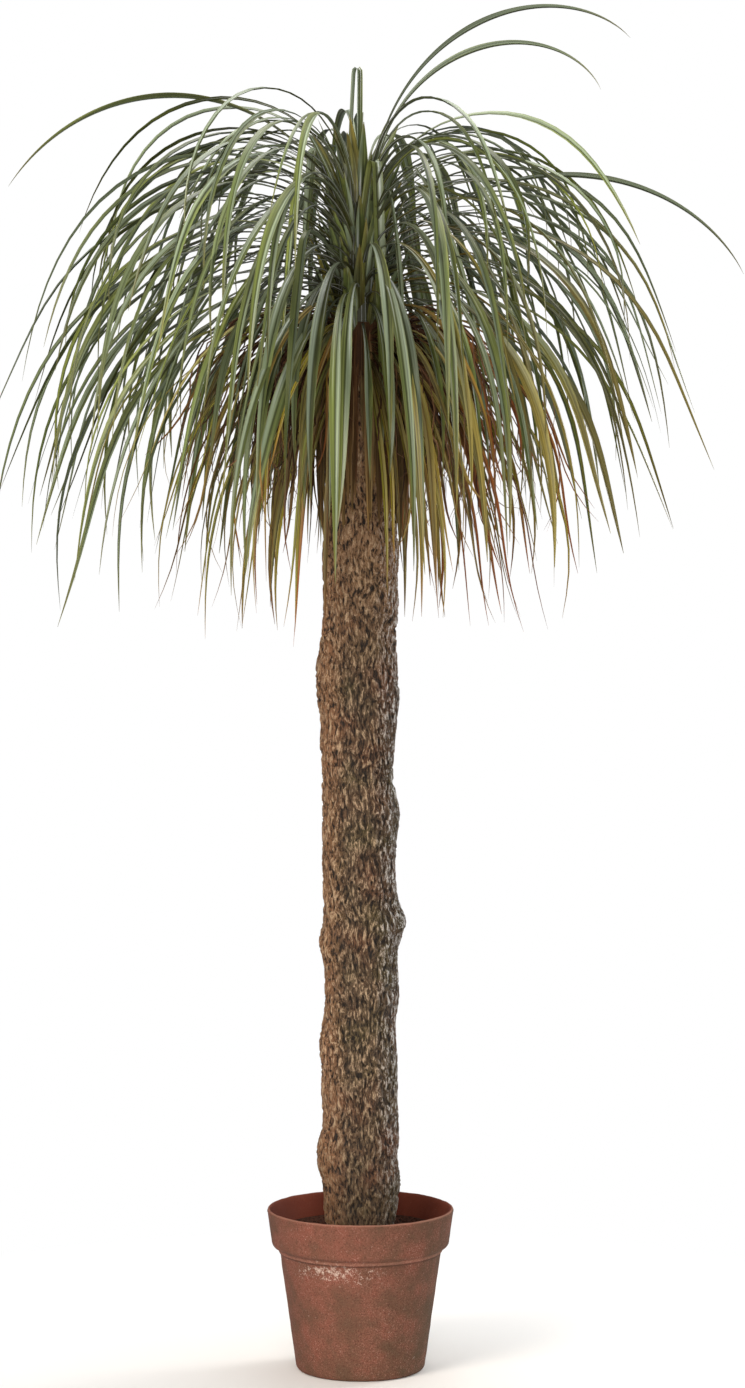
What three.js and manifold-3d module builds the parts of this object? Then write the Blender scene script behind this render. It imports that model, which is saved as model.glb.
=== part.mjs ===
// Potted ponytail palm: a straight bark-covered trunk in a flower pot, with a drooping
// head of long strap leaves. Millimetres, +Z up. The origin is the centre of the pot's
// flat underside, and the camera side of the plant faces -Y.

import * as THREE from 'three';
import { mergeVertices } from 'three/addons/utils/BufferGeometryUtils.js';
import Module from 'manifold-3d';

const wasm = await Module();
wasm.setup();

// ---------------------------------------------------------------- driving dimensions

const GAP = 0.3; // clearance kept between pieces that rest against each other
const ROUND_SEGMENTS = 36; // sides of the pot, the soil and the trunk, which fit together

const POT = {
  height: 180,
  rimRadius: 103.5,
  lipThickness: 4.5,
  bandHeight: 40,
  bandFootRadius: 98.5,
  wallTopRadius: 90,
  baseRadius: 71,
  footRounding: 4,
  wallThickness: 6,
  baseThickness: 9,
};

const DRAIN = { count: 4, radius: 6, circleRadius: 42, sides: 14 };

const SOIL = {
  depthBelowRim: 24,
  unevenness: 3,
  crown: 4,
  trunkHoleFloor: 62,
};

const TRUNK = {
  footRadius: 37.5,
  stemRadius: 39.5,
  neckRadius: 33,
  neckStart: 1020,
  swellHeight: 30,
  shoulderHeight: 1100,
  tipRadius: 19,
  tipHeight: 1236,
  rowHeight: 22,
  ridges: 9,
  ridgeDepth: 1.1,
};

// Knots of the trunk, and hollows with a swelling below nothing: height, azimuth in
// degrees, swelling, half height, half angle
const KNOTS = [
  [209, 10, 3.5, 11, 50],
  [240, 185, 9, 18, 45],
  [268, 0, 2, 14, 40],
  [312, 180, 2, 18, 50],
  [318, -70, 3.5, 13, 40],
  [362, 175, 4.5, 17, 50],
  [388, 0, -2, 14, 45],
  [415, 60, 4.5, 14, 45],
  [415, 190, -1.5, 22, 50],
  [477, 195, 5, 12, 45],
  [498, -5, 9.5, 14, 42],
  [560, -110, 3.5, 12, 40],
  [565, 0, -2, 18, 45],
  [602, 185, 2, 16, 50],
  [622, 0, 3.5, 14, 50],
  [648, 110, 4.5, 14, 50],
  [664, 0, -5.5, 26, 50],
  [690, 170, 3, 15, 45],
  [748, 0, 2.5, 14, 40],
  [768, 182, 8.5, 30, 55],
  [818, 0, -2, 16, 45],
  [842, -60, 3, 15, 45],
  [905, 70, 4, 18, 50],
];

// The crown's heart: outer radius of the packed leaf bases at each height
const HEART = {
  split: 1158,
  outline: [
    [1100, 37],
    [1158, 36],
    [1200, 32],
    [1260, 26],
    [1305, 18],
    [1317, 11],
  ],
  segments: 20,
  rootDepth: 6,
};

const BLADE = {
  segments: 5,
  steps: 25,
  keelAtRoot: 2.6,
  keelAtTip: 1.4,
  sweepPower: 1.5,
};

const GOLDEN_ANGLE = 137.50776;
const SEED = 20731;

const OLD_LEAVES = {
  count: 62,
  firstIndex: 0,
  width: 10,
  rootHeights: [1110, 1144],
  starts: [-44, 4],
  startScatter: [-6, 4],
  lengths: [330, 420],
  lengthScatter: [0.8, 1.02],
  ends: [-87, -87],
  bends: [1.6, 1.6],
  azimuthScatter: 8,
  sweep: 18,
  roll: 50,
  trim: 0,
};

const GREEN_LEAVES = {
  count: 170,
  firstIndex: 62,
  width: 11.5,
  rootHeights: [1172, 1296],
  starts: [14, 27, 41, 55, 76],
  startScatter: [-4, 7],
  lengths: [510, 558, 552, 512, 435],
  lengthScatter: [0.85, 1.07],
  ends: [-88, -74],
  bends: [1.7, 1.2],
  azimuthScatter: 8,
  sweep: 22,
  roll: 50,
  trim: 0.06,
};

// Single leaves that stand out of the head: azimuth, root height, start and end
// elevation in degrees, length, bend
const STRAYS = [
  [2, 1302, 86, -51, 403, 0.7],
  [-6, 1297, 88, -70, 361, 0.7],
  [4, 1229, 47, -65, 464, 0.8],
  [176, 1276, 69, -56, 458, 1.05],
  [-103, 1294, 88, -72, 372, 1.05],
  [-72, 1292, 88, -84, 330, 1.05],
  [98, 1288, 88, -80, 350, 1.05],
  [-84, 1262, 82, -86, 390, 1.1],
];
const STRAY_WIDTH = 10;

const FINISH = {
  pot: { color: 0x8a5646, roughness: 0.85 },
  soil: { color: 0x3a2a20, roughness: 1.0 },
  trunk: { color: 0x6c5642, roughness: 0.95 },
  old_leaves: { color: 0x8a6a32, roughness: 0.75 },
  green_leaves: { color: 0x6b7a58, roughness: 0.5 },
};

// --------------------------------------------------------------------------- helpers

const MERGE_TOLERANCE = 1e-4;
const TURN = Math.PI * 2;

/** Seeded random draws: the same numbers on every run. */
class Chance {
  constructor(seed) {
    this.state = seed;
  }

  next() {
    this.state = (this.state * 48271) % 2147483647;
    return this.state / 2147483647;
  }

  spread(low, high) {
    return low + (high - low) * this.next();
  }
}

/** Value at a share from 0 to 1 of a list of evenly spaced values. */
function along(values, share) {
  const place = share * (values.length - 1);
  const index = Math.min(Math.floor(place), values.length - 2);
  return THREE.MathUtils.lerp(values[index], values[index + 1], place - index);
}

/** Outer radius of the crown's heart at a height. */
function heartRadius(height) {
  const { outline } = HEART;
  let index = 0;
  while (index < outline.length - 2 && height > outline[index + 1][0]) {
    index += 1;
  }
  const [lowHeight, lowRadius] = outline[index];
  const [highHeight, highRadius] = outline[index + 1];
  const share = (height - lowHeight) / (highHeight - lowHeight);
  return THREE.MathUtils.lerp(lowRadius, highRadius, THREE.MathUtils.clamp(share, 0, 1));
}

/** Closed geometry with its normals and uvs dropped and its shared vertices merged. */
function welded(geometry) {
  const bare = geometry.clone();
  bare.deleteAttribute('normal');
  bare.deleteAttribute('uv');
  return mergeVertices(bare, MERGE_TOLERANCE);
}

/** Solid body for joining and cutting. */
function solidFrom(geometry) {
  const shell = welded(geometry);
  return new wasm.Manifold(new wasm.Mesh({
    numProp: 3,
    vertProperties: new Float32Array(shell.attributes.position.array),
    triVerts: new Uint32Array(shell.index.array),
  }));
}

/** Geometry of a solid body. */
function geometryFrom(solid) {
  const mesh = solid.getMesh();
  const geometry = new THREE.BufferGeometry();
  geometry.setAttribute('position', new THREE.BufferAttribute(mesh.vertProperties, 3));
  geometry.setIndex(new THREE.BufferAttribute(mesh.triVerts, 1));
  geometry.computeVertexNormals();
  return geometry;
}

/** All solids joined to one: sealed hollows are filled and loose scraps dropped. */
function joined(solids) {
  const pieces = wasm.Manifold.union(solids).decompose();
  return pieces.reduce((best, piece) => (piece.volume() > best.volume() ? piece : best));
}

/** Solid turned about the Z axis from [radius, height] points. */
function turned(points, segments) {
  const profile = points.map(([radius, height]) => new THREE.Vector2(radius, height));
  const geometry = new THREE.LatheGeometry(profile, segments);
  geometry.rotateX(Math.PI / 2);
  return geometry;
}

// ------------------------------------------------------------------------------- pot

/** Radius of the pot's inner wall at a height. */
function potInnerRadius(height) {
  const wallTop = POT.height - POT.bandHeight;
  const floorRadius = POT.baseRadius - POT.wallThickness + 1;
  const shoulderRadius = POT.wallTopRadius - POT.wallThickness;
  const lipRadius = POT.rimRadius - POT.lipThickness;
  if (height < wallTop) {
    return THREE.MathUtils.mapLinear(height, POT.baseThickness, wallTop, floorRadius, shoulderRadius);
  }
  return THREE.MathUtils.mapLinear(height, wallTop, POT.height, shoulderRadius, lipRadius);
}

function potGeometry() {
  const wallTop = POT.height - POT.bandHeight;
  const round = POT.footRounding;
  const lip = POT.lipThickness;
  const body = solidFrom(turned([
    [0, 0],
    [POT.baseRadius - round, 0],
    [POT.baseRadius - round * 0.3, round * 0.3],
    [POT.baseRadius + round * 0.15, round],
    [POT.wallTopRadius, wallTop - 3],
    [POT.bandFootRadius - 2, wallTop],
    [POT.bandFootRadius, wallTop + 2],
    [POT.rimRadius, POT.height - lip * 0.6],
    [POT.rimRadius - lip * 0.3, POT.height],
    [POT.rimRadius - lip * 0.8, POT.height],
    [potInnerRadius(POT.height - lip * 0.6), POT.height - lip * 0.6],
    [potInnerRadius(wallTop), wallTop],
    [potInnerRadius(POT.baseThickness), POT.baseThickness],
    [0, POT.baseThickness],
  ], ROUND_SEGMENTS));
  const drill = new THREE.CylinderGeometry(
    DRAIN.radius, DRAIN.radius, POT.baseThickness * 3, DRAIN.sides,
  );
  drill.rotateX(Math.PI / 2);
  let pot = body;
  for (let i = 0; i < DRAIN.count; i += 1) {
    const angle = (TURN * (i + 0.5)) / DRAIN.count;
    const x = DRAIN.circleRadius * Math.cos(angle);
    const y = DRAIN.circleRadius * Math.sin(angle);
    pot = pot.subtract(solidFrom(drill.clone().translate(x, y, 0)));
  }
  return geometryFrom(pot);
}

// ------------------------------------------------------------------------------ soil

/** Height of the soil's uneven surface above its edge, which is level, at a point. */
function soilRelief(x, y, edge) {
  const lumps = Math.sin(x / 9 + 1.3) * Math.cos(y / 11 - 0.6) + 0.6 * Math.sin((x + 2 * y) / 17);
  const inward = 1 - Math.hypot(x, y) / edge;
  return (SOIL.unevenness * lumps * Math.min(1, inward * 6)) / 2 + SOIL.crown * inward;
}

function soilGeometry() {
  const top = POT.height - SOIL.depthBelowRim;
  const floor = POT.baseThickness + GAP;
  const holeRadius = TRUNK.footRadius + GAP;
  const edge = potInnerRadius(top) - GAP * 2;
  const wallTop = POT.height - POT.bandHeight;
  const surface = [0, 0.25, 0.5, 0.75, 1].map((share) => [
    THREE.MathUtils.lerp(edge, holeRadius, share), top,
  ]);
  const geometry = turned([
    [0, floor],
    [potInnerRadius(floor) - GAP * 2, floor],
    [potInnerRadius(wallTop) - GAP * 2, wallTop],
    ...surface,
    [holeRadius, SOIL.trunkHoleFloor],
    [0, SOIL.trunkHoleFloor],
  ], ROUND_SEGMENTS);
  const place = geometry.attributes.position;
  for (let i = 0; i < place.count; i += 1) {
    if (place.getZ(i) > top - 1) {
      place.setZ(i, top + soilRelief(place.getX(i), place.getY(i), edge));
    }
  }
  return welded(geometry);
}

// ----------------------------------------------------------------------------- trunk

/** Smooth radius of the trunk at a height, without bark or knots. */
function stemRadius(height) {
  const soilTop = POT.height - SOIL.depthBelowRim;
  const foot = THREE.MathUtils.smoothstep(height, soilTop, soilTop + TRUNK.swellHeight);
  const neck = THREE.MathUtils.smoothstep(height, TRUNK.neckStart - 120, TRUNK.neckStart);
  const stem = THREE.MathUtils.lerp(TRUNK.footRadius, TRUNK.stemRadius, foot);
  return THREE.MathUtils.lerp(stem, TRUNK.neckRadius, neck);
}

/** Swelling of the trunk's knots at a height and azimuth. */
function knotSwelling(height, azimuth) {
  let swelling = 0;
  for (const [knotHeight, knotAzimuth, rise, halfHeight, halfAngle] of KNOTS) {
    const turn = azimuth - THREE.MathUtils.degToRad(knotAzimuth);
    const side = Math.atan2(Math.sin(turn), Math.cos(turn)) / THREE.MathUtils.degToRad(halfAngle);
    const lift = (height - knotHeight) / halfHeight;
    swelling += rise * Math.exp(-(side * side + lift * lift) / 2);
  }
  return swelling;
}

/** Furrowed bark: ridges that run up the trunk and wander to each side. */
function barkRelief(height, azimuth) {
  const wander = 1.4 * Math.sin(height / 31) + 0.9 * Math.sin(height / 13 + 2 * azimuth);
  return TRUNK.ridgeDepth * Math.sin(TRUNK.ridges * azimuth + wander);
}

function trunkGeometry() {
  const soilTop = POT.height - SOIL.depthBelowRim;
  const foot = SOIL.trunkHoleFloor + GAP;
  const plainTop = soilTop + SOIL.crown + SOIL.unevenness;
  const barkTop = TRUNK.shoulderHeight - TRUNK.rowHeight;
  const rows = Math.round((barkTop - plainTop) / TRUNK.rowHeight);
  const profile = [[0, foot], [TRUNK.footRadius, foot], [TRUNK.footRadius, plainTop]];
  for (let row = 1; row <= rows; row += 1) {
    const height = THREE.MathUtils.lerp(plainTop, barkTop, row / rows);
    profile.push([stemRadius(height), height]);
  }
  profile.push([TRUNK.neckRadius, TRUNK.shoulderHeight]);
  profile.push([TRUNK.tipRadius, TRUNK.shoulderHeight]);
  profile.push([TRUNK.tipRadius, TRUNK.tipHeight - 4]);
  profile.push([TRUNK.tipRadius * 0.6, TRUNK.tipHeight]);
  profile.push([0, TRUNK.tipHeight]);
  const geometry = welded(turned(profile, ROUND_SEGMENTS));
  const place = geometry.attributes.position;
  for (let i = 0; i < place.count; i += 1) {
    const x = place.getX(i);
    const y = place.getY(i);
    const height = place.getZ(i);
    if (height > plainTop + 1 && height < barkTop + 1) {
      const azimuth = Math.atan2(y, x);
      const radius = Math.hypot(x, y);
      const relief = knotSwelling(height, azimuth) + barkRelief(height, azimuth);
      const scale = (radius + relief) / radius;
      place.setXY(i, x * scale, y * scale);
    }
  }
  return geometry;
}

// ---------------------------------------------------------------------------- leaves

/** Leaves of one kind, drawn up the heart by the golden angle. */
function spiralLeaves(kind, chance) {
  const leaves = [];
  for (let i = 0; i < kind.count; i += 1) {
    const share = (i + 0.5) / kind.count;
    const turn = (i + kind.firstIndex) * GOLDEN_ANGLE;
    const scatter = chance.spread(-kind.azimuthScatter, kind.azimuthScatter);
    const azimuth = THREE.MathUtils.degToRad(turn + scatter);
    const start = along(kind.starts, share) + chance.spread(...kind.startScatter);
    const reach = along(kind.lengths, share) * chance.spread(...kind.lengthScatter);
    leaves.push({
      azimuth,
      rootHeight: along(kind.rootHeights, share),
      start,
      length: reach * (1 - kind.trim * (1 + Math.cos(azimuth))),
      end: chance.spread(...kind.ends),
      bend: along(kind.bends, share),
      sweep: THREE.MathUtils.degToRad(chance.spread(-kind.sweep, kind.sweep)),
      roll: THREE.MathUtils.degToRad(chance.spread(-kind.roll, kind.roll)),
      width: kind.width,
    });
  }
  return leaves;
}

function strayLeaves() {
  return STRAYS.map(([azimuth, rootHeight, start, end, length, bend]) => ({
    azimuth: THREE.MathUtils.degToRad(azimuth),
    rootHeight,
    start,
    length,
    end,
    bend,
    sweep: 0,
    roll: 0,
    width: STRAY_WIDTH,
  }));
}

/** Direction of a leaf at a share of its length: it starts steep and bows over. */
function leafDirection(leaf, share) {
  const bow = 1 - (1 - share) ** leaf.bend;
  const elevation = THREE.MathUtils.degToRad(leaf.start - (leaf.start - leaf.end) * bow);
  const azimuth = leaf.azimuth + leaf.sweep * share ** BLADE.sweepPower;
  return new THREE.Vector3(
    Math.cos(elevation) * Math.cos(azimuth),
    Math.cos(elevation) * Math.sin(azimuth),
    Math.sin(elevation),
  );
}

/** Points of a leaf's midline at the blade's stations, from its root in the heart. */
function leafLine(leaf) {
  const rootRadius = heartRadius(leaf.rootHeight) - HEART.rootDepth;
  const point = new THREE.Vector3(
    rootRadius * Math.cos(leaf.azimuth),
    rootRadius * Math.sin(leaf.azimuth),
    leaf.rootHeight,
  );
  const points = [point.clone()];
  for (let step = 0; step < BLADE.steps; step += 1) {
    const direction = leafDirection(leaf, (step + 0.5) / BLADE.steps);
    point.addScaledVector(direction, leaf.length / BLADE.steps);
    if ((step + 1) % (BLADE.steps / BLADE.segments) === 0) {
      points.push(point.clone());
    }
  }
  return points;
}

/** Width of a blade at a share of its length: broad first, then a long fine taper. */
function bladeWidth(leaf, share) {
  return leaf.width * Math.min(1, 0.6 + 0.9 * share) * Math.min(1, (1 - share) / 0.6) ** 0.75;
}

/** Three-sided blade: a flat upper face with a keel below, bent along the leaf's line. */
function bladeGeometry(leaf) {
  const blade = new THREE.ConeGeometry(1, 1, 3, BLADE.segments);
  const place = blade.attributes.position;
  const line = leafLine(leaf);
  for (let i = 0; i < place.count; i += 1) {
    const station = Math.round((place.getY(i) + 0.5) * BLADE.segments);
    const share = station / BLADE.segments;
    const shrink = Math.max(1 - share, Number.EPSILON);
    const across = (place.getX(i) / shrink / Math.sqrt(3)) * bladeWidth(leaf, share);
    const keel = THREE.MathUtils.lerp(BLADE.keelAtRoot, BLADE.keelAtTip, share);
    const depth = share < 1 ? ((place.getZ(i) / shrink + 0.5) / 1.5) * keel : 0;
    const forward = leafDirection(leaf, share);
    const level = new THREE.Vector3(0, 0, 1).cross(forward).normalize();
    const side = level.applyAxisAngle(forward, leaf.roll * share);
    const below = side.clone().cross(forward);
    const point = line[station].clone().addScaledVector(side, across).addScaledVector(below, depth);
    place.setXYZ(i, point.x, point.y, point.z);
  }
  return blade;
}

/** Side of the packed leaf bases between two heights, as [radius, height] points. */
function heartSide(lowHeight, highHeight) {
  const between = HEART.outline.filter(([height]) => height > lowHeight && height < highHeight);
  return [
    [heartRadius(lowHeight), lowHeight],
    ...between.map(([height, radius]) => [radius, height]),
    [heartRadius(highHeight), highHeight],
  ];
}

/** Ring of old leaf bases that sits on the trunk's shoulder. */
function oldCore() {
  const bore = TRUNK.tipRadius + GAP * 2;
  const foot = TRUNK.shoulderHeight + GAP;
  const top = HEART.split;
  return turned([[bore, foot], ...heartSide(foot, top), [bore, top], [bore, foot]], HEART.segments);
}

/** Cap of green leaf bases that sits on the old ones, over the trunk's tip. */
function greenCore() {
  const bore = TRUNK.tipRadius + GAP * 2;
  const boreTop = TRUNK.tipHeight + GAP;
  const foot = HEART.split + GAP;
  const [top] = HEART.outline[HEART.outline.length - 1];
  const inside = [[0, boreTop], [bore, boreTop], [bore, foot]];
  return turned([...inside, ...heartSide(foot, top), [0, top]], HEART.segments);
}

/** Leaves joined to the core that their roots are sunk in. */
function leavesGeometry(core, leaves) {
  const blades = leaves.map((leaf) => solidFrom(bladeGeometry(leaf)));
  return geometryFrom(joined([solidFrom(core), ...blades]));
}

// -------------------------------------------------------------------------- assembly

function named(name, geometry) {
  const { color, roughness } = FINISH[name];
  const material = new THREE.MeshStandardMaterial({ color, roughness, metalness: 0 });
  material.name = name;
  const mesh = new THREE.Mesh(geometry, material);
  mesh.name = name;
  return mesh;
}

const chance = new Chance(SEED);
const oldLeaves = spiralLeaves(OLD_LEAVES, chance);
const greenLeaves = [...spiralLeaves(GREEN_LEAVES, chance), ...strayLeaves()];

const palm = new THREE.Group();
palm.name = 'potted_ponytail_palm';
palm.add(named('pot', potGeometry()));
palm.add(named('soil', soilGeometry()));
palm.add(named('trunk', trunkGeometry()));
palm.add(named('old_leaves', leavesGeometry(oldCore(), oldLeaves)));
palm.add(named('green_leaves', leavesGeometry(greenCore(), greenLeaves)));

export default palm;
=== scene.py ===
"""Looks of a potted ponytail palm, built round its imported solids.

Metres, +Z up, with the origin at the centre of the pot's flat underside. The leaves follow
the same seeded rule as the solids that they stand for, so each one lies along its solid.
"""

import logging
import math
from collections.abc import Callable, Iterator
from contextlib import contextmanager
from dataclasses import dataclass, replace
from enum import Enum
from functools import partial, reduce

import bmesh
import bpy
import numpy as np
from bpy.types import Material, Node
from bpy.types import Object as Piece
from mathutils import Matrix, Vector, noise


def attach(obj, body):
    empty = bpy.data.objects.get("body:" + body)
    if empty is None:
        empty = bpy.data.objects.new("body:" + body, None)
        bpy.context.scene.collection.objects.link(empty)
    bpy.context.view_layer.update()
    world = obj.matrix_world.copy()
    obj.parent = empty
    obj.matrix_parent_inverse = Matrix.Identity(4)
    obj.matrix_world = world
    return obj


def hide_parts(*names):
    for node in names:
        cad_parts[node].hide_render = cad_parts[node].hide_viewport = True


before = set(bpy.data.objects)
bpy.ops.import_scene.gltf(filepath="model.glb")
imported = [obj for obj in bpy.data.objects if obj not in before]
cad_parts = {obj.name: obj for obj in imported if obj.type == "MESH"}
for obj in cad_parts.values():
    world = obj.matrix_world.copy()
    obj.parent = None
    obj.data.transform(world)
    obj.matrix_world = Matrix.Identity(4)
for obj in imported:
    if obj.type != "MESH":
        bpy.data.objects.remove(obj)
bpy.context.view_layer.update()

MM = 0.001
TURN = 2 * math.pi
PLUMB = math.radians(-88)
LEAF_STEPS = 80
GOLDEN_ANGLE = 137.50776
LEAF_MAP = "leaf_map"
LOG = logging.getLogger("potted_ponytail_palm")


# ------------------------------------------------------------------ numbers and draws


class Chance:
    """Seeded draws that come out the same on every run."""

    def __init__(self, seed: int) -> None:
        """Starts the draws from a whole number above zero."""
        self.state = seed

    def next(self) -> float:
        """Returns the next draw, from 0 to 1."""
        self.state = self.state * 48271 % 2147483647
        return self.state / 2147483647

    def spread(self, low: float, high: float) -> float:
        """Returns a draw between two values."""
        return low + (high - low) * self.next()


def mix(start: float, end: float, share: float) -> float:
    """Returns the value at a share of the way from start to end."""
    return start + (end - start) * share


def along(values: tuple[float, ...], share: float) -> float:
    """Reads a list of evenly spaced values.

    Args:
        values: the values, first to last.
        share: the place to read, from 0 to 1.

    Returns:
        The value there, straight between its neighbours.
    """
    place = share * (len(values) - 1)
    index = min(int(place), len(values) - 2)
    return mix(values[index], values[index + 1], place - index)


def smoothstep(value: float | np.ndarray, low: float, high: float) -> float | np.ndarray:
    """Returns 0 below low, 1 above high, and an S-curve between."""
    share = np.clip((value - low) / (high - low), 0, 1)
    return share * share * (3 - 2 * share)


def linear(colour: str) -> tuple[float, float, float, float]:
    """Turns an sRGB hex colour, such as "#8a5646", to linear light with an alpha of 1."""
    channels = [int(colour[i : i + 2], 16) / 255 for i in (1, 3, 5)]
    return (*[c / 12.92 if c <= 0.04045 else ((c + 0.055) / 1.055) ** 2.4 for c in channels], 1.0)


# ------------------------------------------------------------------- modelling by hand


def chosen(*pieces: Piece) -> None:
    """Selects these pieces and nothing else, and makes the first one active.

    Args:
        pieces: the objects, or none to deselect everything.
    """
    bpy.ops.object.select_all(action="DESELECT")
    for piece in pieces:
        piece.select_set(True)
    if pieces:
        bpy.context.view_layer.objects.active = pieces[0]


def copied(pattern: Piece) -> Piece:
    """Copies a pattern.

    Args:
        pattern: the mesh object.

    Returns:
        The copy, with its own mesh.
    """
    copy = pattern.copy()
    copy.data = pattern.data.copy()
    bpy.context.scene.collection.objects.link(copy)
    return copy


@contextmanager
def editing(piece: Piece) -> Iterator[None]:
    """Opens edit mode on one piece, with nothing selected in it.

    Args:
        piece: the mesh object to edit.
    """
    chosen(piece)
    bpy.ops.object.mode_set(mode="EDIT")
    bpy.ops.mesh.select_all(action="DESELECT")
    yield
    bpy.ops.object.mode_set(mode="OBJECT")


def pick(piece: Piece, kind: str, test: Callable[..., bool]) -> None:
    """Selects, in edit mode, the elements that pass a test.

    Args:
        piece: the mesh object in edit mode.
        kind: "verts", "edges" or "faces".
        test: says of one element whether it is selected.
    """
    bpy.ops.mesh.select_all(action="DESELECT")
    bpy.ops.mesh.select_mode(type={"verts": "VERT", "edges": "EDGE", "faces": "FACE"}[kind])
    shape = bmesh.from_edit_mesh(piece.data)
    for element in getattr(shape, kind):
        if test(element):
            element.select_set(True)
    shape.select_flush_mode()
    bmesh.update_edit_mesh(piece.data)


def modified(piece: Piece, kind: str, **settings: object) -> None:
    """Adds a modifier to a piece and applies it.

    Args:
        piece: the mesh object.
        kind: the modifier's type, such as "BEVEL".
        settings: its settings by name.
    """
    modifier = piece.modifiers.new(kind.lower(), kind)
    for name, value in settings.items():
        setattr(modifier, name, value)
    chosen(piece)
    bpy.ops.object.modifier_apply(modifier=modifier.name)


def settled(piece: Piece, crease: float = 40) -> Piece:
    """Puts a piece's place into its mesh and smooths its shading.

    Args:
        piece: the mesh object.
        crease: edges sharper than this many degrees stay sharp.

    Returns:
        The same piece.
    """
    chosen(piece)
    bpy.ops.object.transform_apply(location=True, rotation=True, scale=True)
    bpy.ops.object.shade_smooth_by_angle(angle=math.radians(crease))
    return piece


def joined(copies: list[Piece], name: str) -> Piece:
    """Joins copies to one named piece.

    Args:
        copies: mesh objects, each with its own mesh.
        name: the piece's name.

    Returns:
        The joined piece.
    """
    chosen(*copies)
    bpy.ops.object.join()
    piece = bpy.context.view_layer.objects.active
    piece.name = name
    piece.data.name = name
    return piece


def stepped(profile: list[tuple[float, float]], step: float) -> list[tuple[float, float]]:
    """Adds points to a profile so that none of its stretches is longer than a step.

    Args:
        profile: (radius, height) points in millimetres.
        step: the longest stretch, in millimetres.

    Returns:
        The profile with the added points.
    """
    points = [profile[0]]
    for (radius, height), (next_radius, next_height) in zip(profile, profile[1:]):
        count = max(1, math.ceil(math.hypot(next_radius - radius, next_height - height) / step))
        for part in range(1, count + 1):
            share = part / count
            points.append((mix(radius, next_radius, share), mix(height, next_height, share)))
    return points


def raised(name: str, profile: list[tuple[float, float]], segments: int) -> Piece:
    """Raises a closed round body ring by ring from a disc.

    Args:
        name: the piece's name.
        profile: (radius, height) of each ring in millimetres, from the first disc to the last.
        segments: vertices in each ring.

    Returns:
        The piece, with a face at each end.
    """
    radius, height = profile[0]
    foot = (0, 0, height * MM)
    chosen()
    bpy.ops.mesh.primitive_circle_add(
        vertices=segments, radius=radius * MM, fill_type="NGON", calc_uvs=False, location=foot
    )
    piece = bpy.context.active_object
    piece.name = name
    with editing(piece):
        pick(piece, "edges", lambda edge: True)
        for next_radius, next_height in profile[1:]:
            rise = (next_height - height) * MM
            bpy.ops.mesh.extrude_edges_move(TRANSFORM_OT_translate={"value": (0, 0, rise)})
            ratio = next_radius / radius
            bpy.ops.transform.resize(value=(ratio, ratio, 1), center_override=(0, 0, next_height * MM))
            radius, height = next_radius, next_height
        bpy.ops.mesh.edge_face_add()
        bpy.ops.mesh.select_all(action="SELECT")
        bpy.ops.mesh.normals_make_consistent(inside=False)
    return settled(piece)


def points_of(piece: Piece) -> np.ndarray:
    """Reads where the vertices of a piece are.

    Args:
        piece: the mesh object.

    Returns:
        Their places, one row each.
    """
    points = np.empty(len(piece.data.vertices) * 3)
    piece.data.vertices.foreach_get("co", points)
    return points.reshape(-1, 3)


def mapped(piece: Piece, across: np.ndarray, length: np.ndarray) -> None:
    """Gives a piece its uv map.

    Args:
        piece: the mesh object.
        across: u at each vertex, across the leaf.
        length: v at each vertex, along the leaf.
    """
    corners = np.empty(len(piece.data.loops), np.int32)
    piece.data.loops.foreach_get("vertex_index", corners)
    places = np.stack([across[corners], length[corners]], axis=1)
    layer = piece.data.uv_layers.new(name=LEAF_MAP)
    layer.data.foreach_set("uv", places.astype(np.float32).ravel())


def move_points(piece: Piece, points: np.ndarray) -> None:
    """Moves the vertices of a piece to new places, one row for each."""
    piece.data.vertices.foreach_set("co", points.ravel())
    piece.data.update()


def weighted(piece: Piece, name: str, weights: np.ndarray) -> None:
    """Gives a piece a vertex group.

    Args:
        piece: the mesh object.
        name: the group's name.
        weights: a weight from 0 to 1 for each vertex.
    """
    group = piece.vertex_groups.new(name=name)
    for index, weight in enumerate(weights):
        if weight > 0:
            group.add([index], float(weight), "REPLACE")


def pitted(piece: Piece, grain: float, depth: float, group: str) -> None:
    """Makes a surface uneven with cloudy noise.

    Args:
        piece: the mesh object.
        grain: size of the lumps, in millimetres.
        depth: height from the lowest pit to the highest lump, in millimetres.
        group: the vertex group that is moved.
    """
    clouds = bpy.data.textures.new(f"{piece.name}_lumps", "CLOUDS")
    clouds.noise_scale = grain * MM
    clouds.noise_depth = 2
    field = {"texture": clouds, "texture_coords": "LOCAL", "vertex_group": group}
    modified(piece, "DISPLACE", strength=depth * MM, **field)
    piece.vertex_groups.remove(piece.vertex_groups[group])


def dressed(piece: Piece, node: str, material: Material) -> Piece:
    """Gives a piece its material and its place in the assembly.

    Args:
        piece: the mesh object.
        node: the solid that it replaces.
        material: its finish.

    Returns:
        The same piece.
    """
    piece.data.materials.clear()
    piece.data.materials.append(material)
    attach(piece, "root")
    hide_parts(node)
    return piece


# ----------------------------------------------------------------------------- finishes

NOISE = "ShaderNodeTexNoise"
RANGE = "ShaderNodeMapRange"
MIX = "ShaderNodeMix"
MATH = "ShaderNodeMath"
VECTOR = "ShaderNodeVectorMath"
BUMP = "ShaderNodeBump"
SHADER = "ShaderNodeBsdfPrincipled"
SURFACE = "ShaderNodeOutputMaterial"
# Numbered sockets. Map Range: 0 is the value, 1 and 2 the range that it is read over, and 3
# and 4 the results at its ends. Mix: 0 is the share, 6 and 7 the two colours, 2 the result
COLOURS = {"data_type": "RGBA"}
TIMES = {"data_type": "RGBA", "blend_type": "MULTIPLY"}

NodeAdder = Callable[..., Node]


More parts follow.
